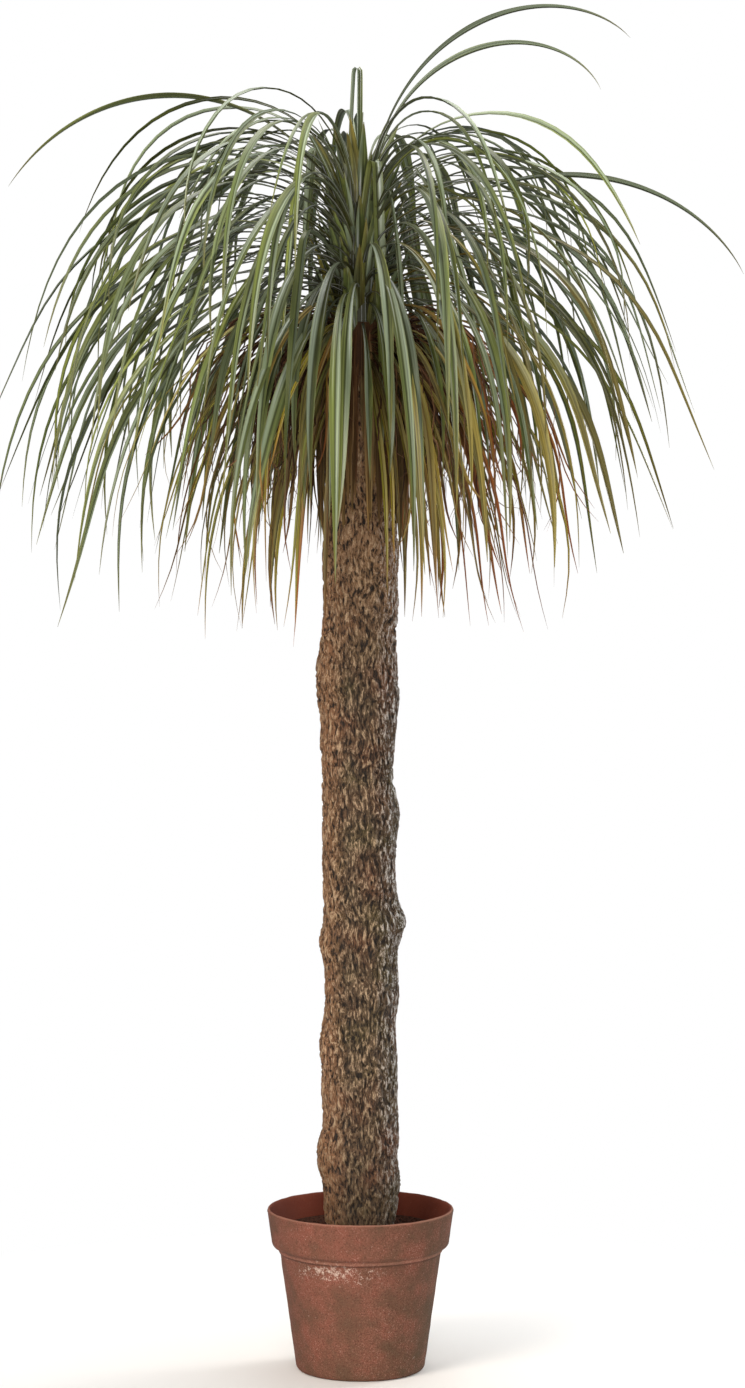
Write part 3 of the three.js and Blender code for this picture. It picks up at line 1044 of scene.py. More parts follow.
@dataclass
class Trunk:
    """Trunk with knots and furrowed bark, in millimetres.

    Each knot, or hollow where its swelling is below zero, is its height, azimuth in degrees,
    swelling, half height and half angle. The bark begins and ends short of the soil and of
    the shoulder by its margins. Waves along the ridges are a depth and a length each.
    """

    soil_top: float
    foot: float = 62.3
    foot_radius: float = 37.5
    stem_radius: float = 39.5
    swell_height: float = 30
    neck_radius: float = 33
    neck_start: float = 1020
    neck_length: float = 120
    shoulder: float = 1100
    tip_radius: float = 19
    tip_height: float = 1236
    ridges: int = 9
    ridge_depth: float = 0.6
    ridge_waves: tuple[tuple[float, float], ...] = ((1.4, 31), (0.9, 13))
    bark_margins: tuple[float, float] = (7, 16)
    columns: int = 216
    row_cuts: tuple[int, int] = (20, 20)
    crest_width: float = 3.7
    crest_length: float = 11.0
    crest_depth: float = 3.4
    wander_reach: float = 30.0
    wander: float = 9.0
    seed: int = 7
    knots: tuple[tuple[float, float, float, float, float], ...] = (
        (209, 10, 3.5, 11, 50), (240, 185, 9, 18, 45), (268, 0, 2, 14, 40),
        (312, 180, 2, 18, 50), (318, -70, 3.5, 13, 40), (362, 175, 4.5, 17, 50),
        (388, 0, -2, 14, 45), (415, 60, 4.5, 14, 45), (415, 190, -1.5, 22, 50),
        (477, 195, 5, 12, 45), (498, -5, 9.5, 14, 42), (560, -110, 3.5, 12, 40),
        (565, 0, -2, 18, 45), (602, 185, 2, 16, 50), (622, 0, 3.5, 14, 50),
        (648, 110, 4.5, 14, 50), (664, 0, -5.5, 26, 50), (690, 170, 3, 15, 45),
        (748, 0, 2.5, 14, 40), (768, 182, 8.5, 30, 55), (818, 0, -2, 16, 45),
        (842, -60, 3, 15, 45), (905, 70, 4, 18, 50),
    )

    def stem(self, height: np.ndarray) -> np.ndarray:
        """Measures the trunk without its bark and knots.

        Args:
            height: heights above the ground.

        Returns:
            The smooth radius at each.
        """
        foot = smoothstep(height, self.soil_top, self.soil_top + self.swell_height)
        neck = smoothstep(height, self.neck_start - self.neck_length, self.neck_start)
        return mix(mix(self.foot_radius, self.stem_radius, foot), self.neck_radius, neck)

    def swelling(self, height: np.ndarray, azimuth: np.ndarray) -> np.ndarray:
        """Adds up the knots.

        Args:
            height: heights above the ground.
            azimuth: the azimuth at each.

        Returns:
            How far the trunk swells at each.
        """
        total = np.zeros_like(height)
        for knot_height, knot_azimuth, rise, half_height, half_angle in self.knots:
            turn = azimuth - math.radians(knot_azimuth)
            side = np.arctan2(np.sin(turn), np.cos(turn)) / math.radians(half_angle)
            lift = (height - knot_height) / half_height
            total += rise * np.exp(-(side**2 + lift**2) / 2)
        return total

    def furrows(self, points: np.ndarray) -> np.ndarray:
        """Reads the bark's relief.

        Args:
            points: places on the trunk before its bark, in millimetres.

        Returns:
            The relief at each point, from 0 in a furrow to 1 on a crest.
        """
        # Without a seed the drift would follow the clock
        noise.seed_set(self.seed)
        relief = np.empty(len(points))
        for index, point in enumerate(points):
            drift = noise.noise_vector(Vector(point) / self.wander_reach) * self.wander
            x, y, z = Vector(point) + drift
            place = (x / self.crest_width, y / self.crest_width, z / self.crest_length)
            relief[index] = noise.fractal(Vector(place), 0.7, 2.1, 2)
        return smoothstep(relief, -0.45, 0.5)

    def build(self) -> Piece:
        """Builds the trunk.

        Returns:
            The finished piece.
        """
        low_margin, high_margin = self.bark_margins
        bark_foot, bark_top = self.soil_top + low_margin, self.shoulder - high_margin
        profile = [
            (self.foot_radius, self.foot),
            (self.foot_radius, bark_foot),
            (self.stem_radius, bark_top),
            (self.neck_radius, self.shoulder),
            (self.tip_radius, self.shoulder),
            (self.tip_radius, self.tip_height - 4),
            (self.tip_radius * 0.6, self.tip_height),
        ]
        trunk = raised("bark_trunk", profile, self.columns)
        low, high = (bark_foot - 1) * MM, (bark_top + 1) * MM

        def upright(edge: bmesh.types.BMEdge) -> bool:
            """Says whether an edge runs up the stretch with bark."""
            first, last = (vertex.co.z for vertex in edge.verts)
            return min(first, last) > low and max(first, last) < high and abs(first - last) > MM

        for cuts in self.row_cuts:
            with editing(trunk):
                pick(trunk, "edges", upright)
                bpy.ops.mesh.subdivide(number_cuts=cuts)
        places = points_of(trunk) / MM
        heights = places[:, 2]
        azimuths = np.arctan2(places[:, 1], places[:, 0])
        barked = (heights > bark_foot + 0.5) & (heights < bark_top + 0.5)
        (long, long_reach), (short, short_reach) = self.ridge_waves
        wander = long * np.sin(heights / long_reach) + short * np.sin(heights / short_reach + 2 * azimuths)
        radii = self.stem(heights) + self.swelling(heights, azimuths)
        radii += self.ridge_depth * np.sin(self.ridges * azimuths + wander)
        outward = np.stack([np.cos(azimuths), np.sin(azimuths)], axis=1)
        places[barked, :2] = (outward * radii[:, None])[barked]
        relief = np.full(len(places), 0.3)
        relief[barked] = self.furrows(places[barked])
        radii += self.crest_depth * (relief - 0.5)
        places[barked, :2] = (outward * radii[:, None])[barked]
        move_points(trunk, places * MM)
        attribute = trunk.data.attributes.new("relief", "FLOAT", "POINT")
        attribute.data.foreach_set("value", relief.astype(np.float32))
        return dressed(settled(trunk, crease=70), "trunk", Bark().material())


# ------------------------------------------------------------------------------- leaves


@dataclass(frozen=True)
class Leaf:
    """One leaf's line: it leaves the heart, bows over and hangs. Millimetres and radians,
    with the start and end elevations in degrees. What the solids leave out comes last: a
    twist, a fold where the leaf has kinked, waves along it and a turn at its tip."""

    azimuth: float
    root_height: float
    root_radius: float
    start: float
    end: float
    length: float
    bend: float
    sweep: float
    roll: float
    width: float
    twist: float = 0.0
    droop: float = 0.0
    root_turn: float = 0.0
    kink: float = 0.0
    kink_at: float = 0.3
    kink_span: float = 0.05
    wave: float = 0.0
    waves: float = 1.0
    phase: float = 0.0
    flick: float = 0.0

    def off(self, azimuth: float) -> float:
        """Returns how far the leaf points away from an azimuth, both in degrees."""
        turn = self.azimuth - math.radians(azimuth)
        return math.degrees(math.atan2(math.sin(turn), math.cos(turn)))

    def heading(self, share: np.ndarray) -> tuple[np.ndarray, np.ndarray]:
        """Finds where the leaf heads.

        Args:
            share: shares of the length, from 0 to 1.

        Returns:
            The direction and the level sideways direction at each, one row each.
        """
        bow = 1 - (1 - share) ** self.bend
        fold = smoothstep(share, self.kink_at - self.kink_span, self.kink_at + self.kink_span)
        bow = mix(bow, fold, self.kink)
        wave = self.wave * np.sin(self.phase + TURN * self.waves * share) * share
        lift = self.wave * np.cos(1.7 * self.phase + TURN * self.waves * 0.8 * share) * share
        elevation = math.radians(self.start) - math.radians(self.start - self.end) * bow
        elevation = mix(elevation, PLUMB, self.droop * smoothstep(share, 0.45, 1.0))
        elevation += 0.6 * lift + self.flick * smoothstep(share, 0.7, 1.0)
        azimuth = self.azimuth + self.sweep * share**1.5 + wave
        east, north, level = np.cos(azimuth), np.sin(azimuth), np.cos(elevation)
        forward = np.stack([level * east, level * north, np.sin(elevation)], axis=1)
        return forward, np.stack([-north, east, np.zeros_like(azimuth)], axis=1)

    def frames(self, shares: np.ndarray) -> tuple[np.ndarray, np.ndarray, np.ndarray]:
        """Walks the leaf.

        Args:
            shares: shares of the length, from 0 to 1.

        Returns:
            The midline's point, the sideways direction and the upper side's direction at
            each share, one row each.
        """
        steps, _ = self.heading((np.arange(LEAF_STEPS) + 0.5) / LEAF_STEPS)
        turn = self.azimuth + self.root_turn
        root = [self.root_radius * math.cos(turn), self.root_radius * math.sin(turn), self.root_height]
        walked = np.concatenate([np.zeros((1, 3)), np.cumsum(steps, axis=0)]) * self.length / LEAF_STEPS
        places = np.arange(LEAF_STEPS + 1) / LEAF_STEPS
        points = np.stack([np.interp(shares, places, line) for line in (root + walked).T], axis=1)
        forward, flat = self.heading(shares)
        rise = np.cross(forward, flat)
        roll = (self.twist + self.roll * shares)[:, None]
        sides = flat * np.cos(roll) + rise * np.sin(roll)
        return points, sides, np.cross(forward, sides)


@dataclass(frozen=True)
class LeafKind:
    """How the leaves of one kind are drawn up the heart, in millimetres and degrees."""

    count: int
    first_index: int
    widths: tuple[float, ...]
    root_heights: tuple[float, ...]
    starts: tuple[float, ...]
    start_scatter: tuple[float, float]
    lengths: tuple[float, ...]
    length_scatter: tuple[float, float]
    ends: tuple[float, float]
    bends: tuple[float, float]
    azimuth_scatter: float
    sweep: float
    roll: float
    trim: float = 0.0
    outset: float = 0.0

    def draw(self, chance: Chance, heart: "Heart") -> list[Leaf]:
        """Draws the leaves.

        Args:
            chance: the seeded draws.
            heart: gives the radius that the roots start from.

        Returns:
            The leaves, from the lowest root to the highest.
        """
        leaves = []
        for index in range(self.count):
            share = (index + 0.5) / self.count
            turn = (index + self.first_index) * GOLDEN_ANGLE
            azimuth = math.radians(turn + chance.spread(-self.azimuth_scatter, self.azimuth_scatter))
            start = along(self.starts, share) + chance.spread(*self.start_scatter)
            reach = along(self.lengths, share) * chance.spread(*self.length_scatter)
            height = along(self.root_heights, share)
            leaves.append(
                Leaf(
                    azimuth=azimuth,
                    root_height=height,
                    root_radius=heart.root_radius(height) + self.outset,
                    start=start,
                    length=reach * (1 - self.trim * (1 + math.cos(azimuth))),
                    end=chance.spread(*self.ends),
                    bend=along(self.bends, share),
                    sweep=math.radians(chance.spread(-self.sweep, self.sweep)),
                    roll=math.radians(chance.spread(-self.roll, self.roll)),
                    width=along(self.widths, share),
                )
            )
        return leaves


@dataclass(frozen=True)
class Liveliness:
    """How far leaves of one kind stray from the plain rule: degrees and shares."""

    width_scatter: tuple[float, float] = (0.75, 1.2)
    roll_share: float = 0.7
    twist: tuple[float, float] = (18.0, 8.0)
    droop: tuple[float, float] = (0.0, 0.55)
    wave: float = 5.0
    waves: tuple[float, float] = (0.6, 1.5)
    flick: tuple[float, float] = (-14.0, 14.0)
    kinked: float = 0.0

    def enliven(self, leaf: Leaf, chance: Chance) -> Leaf:
        """Makes one leaf its own.

        Args:
            leaf: the leaf as the rule draws it.
            chance: the seeded draws.

        Returns:
            The leaf with its own waves, tip and perhaps a kink.
        """
        kink = chance.spread(0.5, 0.9) if chance.next() < self.kinked else 0.0
        # The steepest leaves are young and stiff
        kink = kink if leaf.start < KINKED_BELOW else 0.0
        # Leaves seen from the side are twisted further, and show their faces
        facing, sideways = self.twist
        twist = facing + sideways * abs(math.cos(leaf.azimuth))
        return replace(
            leaf,
            twist=math.radians(chance.spread(-twist, twist)),
            droop=chance.spread(*self.droop),
            width=leaf.width * chance.spread(*self.width_scatter),
            roll=leaf.roll * self.roll_share,
            wave=math.radians(chance.spread(0.3, 1.0) * self.wave),
            waves=chance.spread(*self.waves),
            phase=chance.spread(0, TURN),
            flick=math.radians(chance.spread(*self.flick)),
            kink=kink,
            kink_at=chance.spread(0.14, 0.42),
        )


OLD_LEAVES = LeafKind(
    count=62, first_index=0, widths=(10, 10), root_heights=(1110, 1144), starts=(-44, 4),
    start_scatter=(-6, 4), lengths=(330, 420), length_scatter=(0.8, 1.02), ends=(-87, -87),
    bends=(1.6, 1.6), azimuth_scatter=8, sweep=18, roll=50,
)
GREEN_LEAVES = LeafKind(
    count=170, first_index=62, widths=(13.2, 9.5), root_heights=(1172, 1296),
    starts=(14, 27, 41, 55, 76), start_scatter=(-4, 7), lengths=(510, 558, 552, 512, 435),
    length_scatter=(0.85, 1.07), ends=(-88, -74), bends=(1.7, 1.2), azimuth_scatter=8, sweep=22,
    roll=50, trim=0.06,
)
# Thinner leaves between the others, too fine and too many for the solids
THIN_GREEN_LEAVES = LeafKind(
    count=88, first_index=640, widths=(9, 7), root_heights=(1168, 1300), starts=(8, 24, 40, 56, 80),
    start_scatter=(-8, 8), lengths=(470, 540, 530, 480, 390), length_scatter=(0.72, 1.0),
    ends=(-88, -70), bends=(1.7, 1.2), azimuth_scatter=60, sweep=30, roll=60, trim=0.06,
)
THIN_OLD_LEAVES = LeafKind(
    count=130, first_index=310, widths=(7, 7), root_heights=(1112, 1158), starts=(-30, -6, 16, 32),
    start_scatter=(-12, 10), lengths=(250, 330, 410, 460), length_scatter=(0.55, 1.0), ends=(-90, -72),
    bends=(1.9, 1.4), azimuth_scatter=60, sweep=34, roll=90,
)
# Leaves that hang over the skirt and the trunk's neck in front
FRONT_LEAVES = LeafKind(
    count=24, first_index=777, widths=(12, 12), root_heights=(1156, 1220), starts=(0, 36),
    start_scatter=(-6, 8), lengths=(300, 450), length_scatter=(0.7, 1.1), ends=(-89, -84),
    bends=(2.0, 1.5), azimuth_scatter=12, sweep=14, roll=40,
)
# Broad bases of young leaves, upright round the heart
SHOOTS = LeafKind(
    count=104, first_index=150, widths=(16, 15), root_heights=(1138, 1298), starts=(74, 84),
    start_scatter=(-8, 4), lengths=(85, 90), length_scatter=(0.6, 1.1), ends=(52, 72),
    bends=(1.0, 1.0), azimuth_scatter=20, sweep=8, roll=20,
)
# Torn leaf bases that hang down the trunk's neck
SHEATHS = LeafKind(
    count=110, first_index=450, widths=(14, 14), root_heights=(1106, 1176), starts=(-82, -76),
    start_scatter=(-4, 6), lengths=(200, 320), length_scatter=(0.4, 1.0), ends=(-96, -90),
    bends=(1.6, 1.6), azimuth_scatter=30, sweep=6, roll=30, outset=5,
)
FIBRES = LeafKind(
    count=340, first_index=911, widths=(1.9, 1.9), root_heights=(1106, 1156), starts=(-40, 25),
    start_scatter=(-25, 20), lengths=(190, 330), length_scatter=(0.4, 1.0), ends=(-95, -70),
    bends=(2.4, 1.6), azimuth_scatter=80, sweep=40, roll=0,
)
# Azimuths of the tufts that the fibres hang in, and how far a tuft spreads, in degrees and
# outwards in millimetres
TUFTS = (-146, -130, -112, -60, -44, -22, 20, 66, 115, 160, 205)
TUFT_SPREAD = 11
TUFT_REACH = 45
# Half of the gap that is left in front, in degrees: the old leaves show the trunk's neck
# there, and the highest green ones, from this height up, show the heart
FRONT = -90
NECK_GAP = 15
HEART_GAP = 18
FRONT_SHARE = 0.3
HEART_GAP_FROM = 1205
# Leaves that start steeper than this don't kink, in degrees
KINKED_BELOW = 58
# Side on which the leaves age first, and the height up to which the thin green ones
# there have gone
AGEING_SIDE = -40
AGEING_SPREAD = 62
AGED_BELOW = 1222
# Single leaves that stand out of the head: azimuth, root height, start and end
# elevation in degrees, length, bend
STRAYS = (
    (2, 1302, 86, -51, 403, 0.7),
    (-6, 1297, 88, -70, 361, 0.7),
    (4, 1229, 47, -65, 464, 0.8),
    (176, 1276, 69, -56, 458, 1.05),
    (98, 1288, 88, -80, 350, 1.05),
)
# Leaves in the middle that rise straight and fold over: azimuth of the root, heading, root
# height, twist, start and end elevation, length, width, and the share of the length at which
# they fold. Then how deep the folds are, and the share that each takes up
FOLDED = (
    (186, -38, 1302, 6, 88, -93, 330, 9, 0.41),
    (-100, -54, 1226, 8, 76, -90, 440, 14, 0.26),
    (-136, -142, 1262, -25, 64, -86, 250, 11, 0.38),
)
FOLD_DEPTH = 0.97
FOLD_SPAN = 0.026
STRAY_WIDTH = 10
STRAY_TWIST = -38


@dataclass
class Heart:
    """Packed leaf bases round the stem's tip: outer radius at each height, in millimetres."""

    foot: float = 1100.3
    split: float = 1158
    gap: float = 0.3
    bore: float = 19.6
    bore_top: float = 1236.3
    root_depth: float = 6
    segments: int = 60
    bases: int = 15
    base_share: float = 0.02
    outline: tuple[tuple[float, float], ...] = (
        (1100, 37), (1158, 36), (1200, 32), (1260, 26), (1305, 18), (1317, 11)
    )

    def radius(self, height: float) -> float:
        """Returns the outer radius at a height."""
        heights, radii = zip(*self.outline)
        return float(np.interp(height, heights, radii))

    def root_radius(self, height: float) -> float:
        """Returns the radius at which a leaf's root starts at a height."""
        return self.radius(height) - self.root_depth

    def side(self, low: float, high: float) -> list[tuple[float, float]]:
        """Returns the (radius, height) points of the side between two heights."""
        between = [(radius, height) for height, radius in self.outline if low < height < high]
        return stepped([(self.radius(low), low), *between, (self.radius(high), high)], 6)

    def cap(self) -> Piece:
        """Raises the cap of green bases.

        Returns:
            The cap, with a blind bore for the stem's tip.
        """
        low, top = self.split + self.gap, self.outline[-1][0]
        bore = [(self.bore, self.bore_top), (self.bore, low)]
        return raised("green_leaf_bases", [*bore, *self.side(low, top)], self.segments)

    def ring(self) -> Piece:
        """Raises the ring of old bases, and bridges its two end discs to a bore.

        Returns:
            The ring.
        """
        side = self.side(self.foot, self.split)
        ring = raised("old_leaf_bases", [*side, (self.bore, self.split)], self.segments)
        with editing(ring):
            pick(ring, "faces", lambda face: len(face.verts) > 4)
            bpy.ops.mesh.delete(type="ONLY_FACE")
            pick(ring, "edges", lambda edge: edge.is_boundary)
            bpy.ops.mesh.bridge_edge_loops()
            bpy.ops.mesh.select_all(action="SELECT")
            bpy.ops.mesh.normals_make_consistent(inside=False)
        return ring


@dataclass
class Strand:
    """Long tapering body, modelled straight once and bent along each leaf's line.

    It stands along Z with its section in shares of half its width, so that one pattern
    serves every width and length.
    """

    name: str
    sides: int
    stations: int
    crowding: float
    root_share: float
    taper_from: float
    taper_power: float
    channel: float = 0.0
    keel: float = 0.0
    span: float = 100.0

    def breadth(self, share: float) -> float:
        """Tapers the body.

        Args:
            share: share of the length.

        Returns:
            The share of the full width there.
        """
        root = self.root_share + (1 - self.root_share) * float(smoothstep(share, 0.15, 0.62))
        taper = min(1, (1 - share) / (1 - self.taper_from)) ** self.taper_power
        return max(0.03, root * taper)

    def build(self) -> "Strand":
        """Models the pattern and keeps its points.

        Returns:
            The strand itself.
        """
        shares = [(step / self.stations) ** self.crowding for step in range(self.stations + 1)]
        profile = [(self.breadth(share) / MM, share * self.span / MM) for share in shares]
        self.pattern = raised(self.name, profile, self.sides)
        if self.channel:
            with editing(self.pattern):
                pick(self.pattern, "verts", lambda vertex: vertex.co.y < -0.001)
                depth = self.channel + self.keel
                bpy.ops.transform.resize(value=(1, depth, 1), center_override=(0, 0, 0))
                pick(self.pattern, "verts", lambda vertex: vertex.co.y > 0.001)
                bpy.ops.transform.resize(value=(1, -self.channel, 1), center_override=(0, 0, 0))
        settled(self.pattern, crease=25)
        self.points = points_of(self.pattern)
        self.shares = np.clip(self.points[:, 2] / self.span, 0, 1)
        breadths = np.array([self.breadth(share) for share in self.shares])
        mapped(self.pattern, 0.5 + 0.5 * self.points[:, 0] / breadths, self.shares)
        return self

    def bent(self, leaf: Leaf, tint: tuple[float, float, float]) -> Piece:
        """Copies the pattern and bends the copy along a leaf's line.

        Args:
            leaf: the leaf.
            tint: its age, its brightness and its own pattern, from 0 to 1.

        Returns:
            The copy, with its own mesh.
        """
        copy = copied(self.pattern)
        midline, sides, ups = leaf.frames(self.shares)
        offset = (sides * self.points[:, 0:1] + ups * self.points[:, 1:2]) * leaf.width / 2
        move_points(copy, (midline + offset) * MM)
        tints = np.tile(np.array([*tint, 1], np.float32), len(self.points))
        attribute = copy.data.color_attributes.new("leaf", "FLOAT_COLOR", "POINT")
        attribute.data.foreach_set("color", tints)
        return copy


class Habit(Enum):
    """Which part of the head a leaf belongs to, by its piece's name."""

    GREEN = "green_leaf_head"
    THIN_GREEN = "thin_green_leaves"
    FRONT = "front_green_leaves"
    SINGLE = "single_green_leaves"
    FOLDED = "folded_green_leaves"
    SHOOT = "young_leaf_bases"
    OLD = "old_leaf_skirt"
    THIN_OLD = "thin_old_leaves"
    SHEATH = "torn_leaf_sheaths"
    FIBRE = "torn_fibres"

    @property
    def stage(self) -> str:
        """Whether its leaves are "green" or "old", as the solids and the slots are named."""
        return "old" if self in (Habit.OLD, Habit.THIN_OLD, Habit.SHEATH, Habit.FIBRE) else "green"


@dataclass
class Foliage:
    """The head of green leaves over a skirt of old ones and torn fibres."""

    heart: Heart
    seed: int = 20731
    thin_seed: int = 5087
    lively_seed: int = 977

    def placed(self, azimuth: float, height: float, twist: float, **line: float) -> Leaf:
        """Places a leaf from given values.

        Args:
            azimuth: where it heads, in degrees.
            height: its root's height, in millimetres.
            twist: how far it is turned round its line, in degrees.
            line: the leaf's other fields by name.

        Returns:
            The leaf.
        """
        turn, reach, lean = math.radians(azimuth), self.heart.root_radius(height), math.radians(twist)
        return Leaf(turn, height, reach, sweep=0, roll=0, twist=lean, **line)

    def strays(self) -> list[Leaf]:
        """Places the single leaves that stand out of the head.

        Returns:
            The leaves.
        """
        leaves = []
        for azimuth, height, *line in STRAYS:
            fields = dict(zip(("start", "end", "length", "bend"), line), width=STRAY_WIDTH)
            twist = STRAY_TWIST * math.cos(math.radians(azimuth))
            leaves.append(self.placed(azimuth, height, twist, **fields))
        return leaves

    def folded(self) -> list[Leaf]:
        """Places the leaves in the middle that fold over.

        Returns:
            The leaves.
        """
        leaves = []
        for root, azimuth, height, twist, *line in FOLDED:
            fields = dict(zip(("start", "end", "length", "width", "kink_at"), line), bend=1)
            fold = {"root_turn": math.radians(root - azimuth), "kink": FOLD_DEPTH, "kink_span": FOLD_SPAN}
            leaves.append(self.placed(azimuth, height, twist, **fields, **fold))
        return leaves

    @staticmethod
    def parted(leaves: list[Leaf], gap: float, lowest: float = 0) -> list[Leaf]:
        """Moves the leaves in front aside.

        Args:
            leaves: the leaves.
            gap: half of the gap left in front, in degrees.
            lowest: height of the lowest root that is moved.

        Returns:
            All the leaves, moved or not.
        """
        moved = []
        for leaf in leaves:
            off = leaf.off(FRONT)
            if abs(off) < gap and leaf.root_height > lowest:
                off = math.copysign(gap + off * off / gap, off)
                leaf = replace(leaf, azimuth=math.radians(FRONT + off))
            moved.append(leaf)
        return moved

    @staticmethod
    def gathered(leaves: list[Leaf]) -> list[Leaf]:
        """Returns the leaves turned towards the front."""
        share = FRONT_SHARE
        return [replace(leaf, azimuth=math.radians(FRONT + leaf.off(FRONT) * share)) for leaf in leaves]

    @staticmethod
    def thinned(leaves: list[Leaf]) -> list[Leaf]:
        """Takes out the low leaves on the side that ages first.

        Args:
            leaves: the leaves.

        Returns:
            The others.
        """
        return [
            leaf
            for leaf in leaves
            if abs(leaf.off(AGEING_SIDE)) > AGEING_SPREAD or leaf.root_height > AGED_BELOW
        ]

    @staticmethod
    def tufted(fibres: list[Leaf], chance: Chance) -> list[Leaf]:
        """Gathers fibres in tufts.

        Args:
            fibres: the fibres, drawn all round.
            chance: the seeded draws.

        Returns:
            The fibres, each at its tuft.
        """
        tufts = [TUFTS[int(chance.next() * len(TUFTS))] for _ in fibres]
        return [
            replace(
                fibre,
                azimuth=math.radians(tuft + chance.spread(-TUFT_SPREAD, TUFT_SPREAD)),
                root_radius=fibre.root_radius + chance.spread(0, TUFT_REACH),
            )
            for fibre, tuft in zip(fibres, tufts)
        ]

    def leaves(self) -> dict[Habit, list[Leaf]]:
        """Draws all the leaves and livens them up.

        Returns:
            The leaves of each habit.
        """
        rule, thin, lively = Chance(self.seed), Chance(self.thin_seed), Chance(self.lively_seed)
        head_gap = (HEART_GAP, HEART_GAP_FROM)
        drawn = {
            Habit.OLD: (
                self.parted(OLD_LEAVES.draw(rule, self.heart), NECK_GAP),
                Liveliness(wave=8, flick=(-20, 25)),
            ),
            Habit.GREEN: (
                self.parted(GREEN_LEAVES.draw(rule, self.heart), *head_gap),
                Liveliness(kinked=0.04),
            ),
            Habit.THIN_GREEN: (
                self.parted(self.thinned(THIN_GREEN_LEAVES.draw(thin, self.heart)), *head_gap),
                Liveliness(wave=7, flick=(-20, 22), kinked=0.14),
            ),
            Habit.FRONT: (
                self.gathered(FRONT_LEAVES.draw(thin, self.heart)),
                Liveliness(wave=6, flick=(-16, 18)),
            ),
            Habit.SHOOT: (
                SHOOTS.draw(thin, self.heart),
                Liveliness(twist=(12, 0), droop=(0, 0), wave=3, width_scatter=(0.6, 1.2)),
            ),
            Habit.THIN_OLD: (
                self.parted(THIN_OLD_LEAVES.draw(thin, self.heart), NECK_GAP),
                Liveliness((0.6, 1.4), wave=14, waves=(0.8, 2.2), flick=(-30, 40), kinked=0.1),
            ),
            Habit.SHEATH: (
                SHEATHS.draw(thin, self.heart),
                Liveliness(twist=(8, 0), droop=(0, 0), wave=3, width_scatter=(0.5, 1.3)),
            ),
            Habit.FIBRE: (
                self.tufted(FIBRES.draw(thin, self.heart), thin),
                Liveliness(wave=75, waves=(2.0, 6.0), flick=(-60, 60), width_scatter=(0.6, 1.5)),
            ),
        }
        livened = {
            habit: [liveliness.enliven(leaf, lively) for leaf in leaves]
            for habit, (leaves, liveliness) in drawn.items()
        }
        livened[Habit.SINGLE] = self.strays()
        livened[Habit.FOLDED] = self.folded()
        return livened

    def tint(self, habit: Habit, leaf: Leaf, chance: Chance) -> tuple[float, float, float]:
        """Draws a leaf's age, brightness and own pattern.

        Args:
            habit: which part of the head the leaf belongs to.
            leaf: the leaf.
            chance: the seeded draws.

        Returns:
            Three values from 0 to 1.
        """
        low, high = GREEN_LEAVES.root_heights
        if habit in (Habit.GREEN, Habit.THIN_GREEN, Habit.FRONT, Habit.SINGLE, Habit.FOLDED):
            lowness = (high - leaf.root_height) / (high - low)
            aside = max(0, math.cos(math.radians(leaf.off(AGEING_SIDE)))) ** 4
            age = 0.5 * lowness + chance.spread(-0.25, 0.25) + 0.6 * lowness * aside
            age += 0.2 * math.cos(leaf.azimuth)
            age *= 0.5 if habit in (Habit.FRONT, Habit.FOLDED) else 1
        elif habit is Habit.SHOOT:
            age = chance.spread(0.1, 0.75)
        else:
            age = 0.5 + 0.22 * math.cos(leaf.azimuth) + chance.spread(-0.55, 0.45)
        own = chance.next() if habit is not Habit.SINGLE else chance.spread(0.05, 0.35)
        return float(np.clip(age, 0, 1)), chance.next(), own

    def build(self) -> list[Piece]:
        """Builds the head.

        Returns:
            The finished leaves, their packed bases and the fibres.
        """
        blade = Strand(
            name="blade_pattern", sides=4, stations=22, crowding=1.12, root_share=0.34,
            taper_from=0.54, taper_power=0.75, channel=0.44, keel=0.12,
        ).build()
        fine_blade = replace(blade, name="fine_blade_pattern", stations=64).build()
        strap = replace(fine_blade, name="strap_pattern", root_share=0.85).build()
        old_blade = Strand(
            name="old_blade_pattern", sides=4, stations=16, crowding=1.0, root_share=0.7,
            taper_from=0.35, taper_power=0.75, channel=0.4, keel=0.14,
        ).build()
        thread = Strand(
            name="thread_pattern", sides=3, stations=18, crowding=1.0, root_share=1.0, taper_from=0.6,
            taper_power=0.6,
        ).build()
        green_skin, dry_skin, sheath_skin, fibre_skin = (
            skin.material() for skin in (GREEN_SKIN, DRY_SKIN, SHEATH_SKIN, FIBRE_SKIN)
        )
        looks = {
            **dict.fromkeys((Habit.GREEN, Habit.THIN_GREEN, Habit.FRONT), (blade, green_skin)),
            **dict.fromkeys((Habit.OLD, Habit.THIN_OLD), (old_blade, dry_skin)),
            Habit.SINGLE: (fine_blade, green_skin),
            Habit.FOLDED: (strap, green_skin),
            Habit.SHOOT: (old_blade, green_skin),
            Habit.SHEATH: (old_blade, sheath_skin),
            Habit.FIBRE: (thread, fibre_skin),
        }
        tints = Chance(self.lively_seed)
        pieces = []
        for habit, leaves in self.leaves().items():
            pattern, skin = looks[habit]
            copies = [pattern.bent(leaf, self.tint(habit, leaf, tints)) for leaf in leaves]
            pieces.append(self.finish(joined(copies, habit.value), habit, skin))
        for strand in (blade, fine_blade, strap, old_blade, thread):
            bpy.data.objects.remove(strand.pattern)
        pieces.append(self.finish(self.roughened(self.heart.ring()), Habit.OLD, sheath_skin))
        pieces.append(self.finish(self.roughened(self.heart.cap()), Habit.GREEN, green_skin))
        return pieces

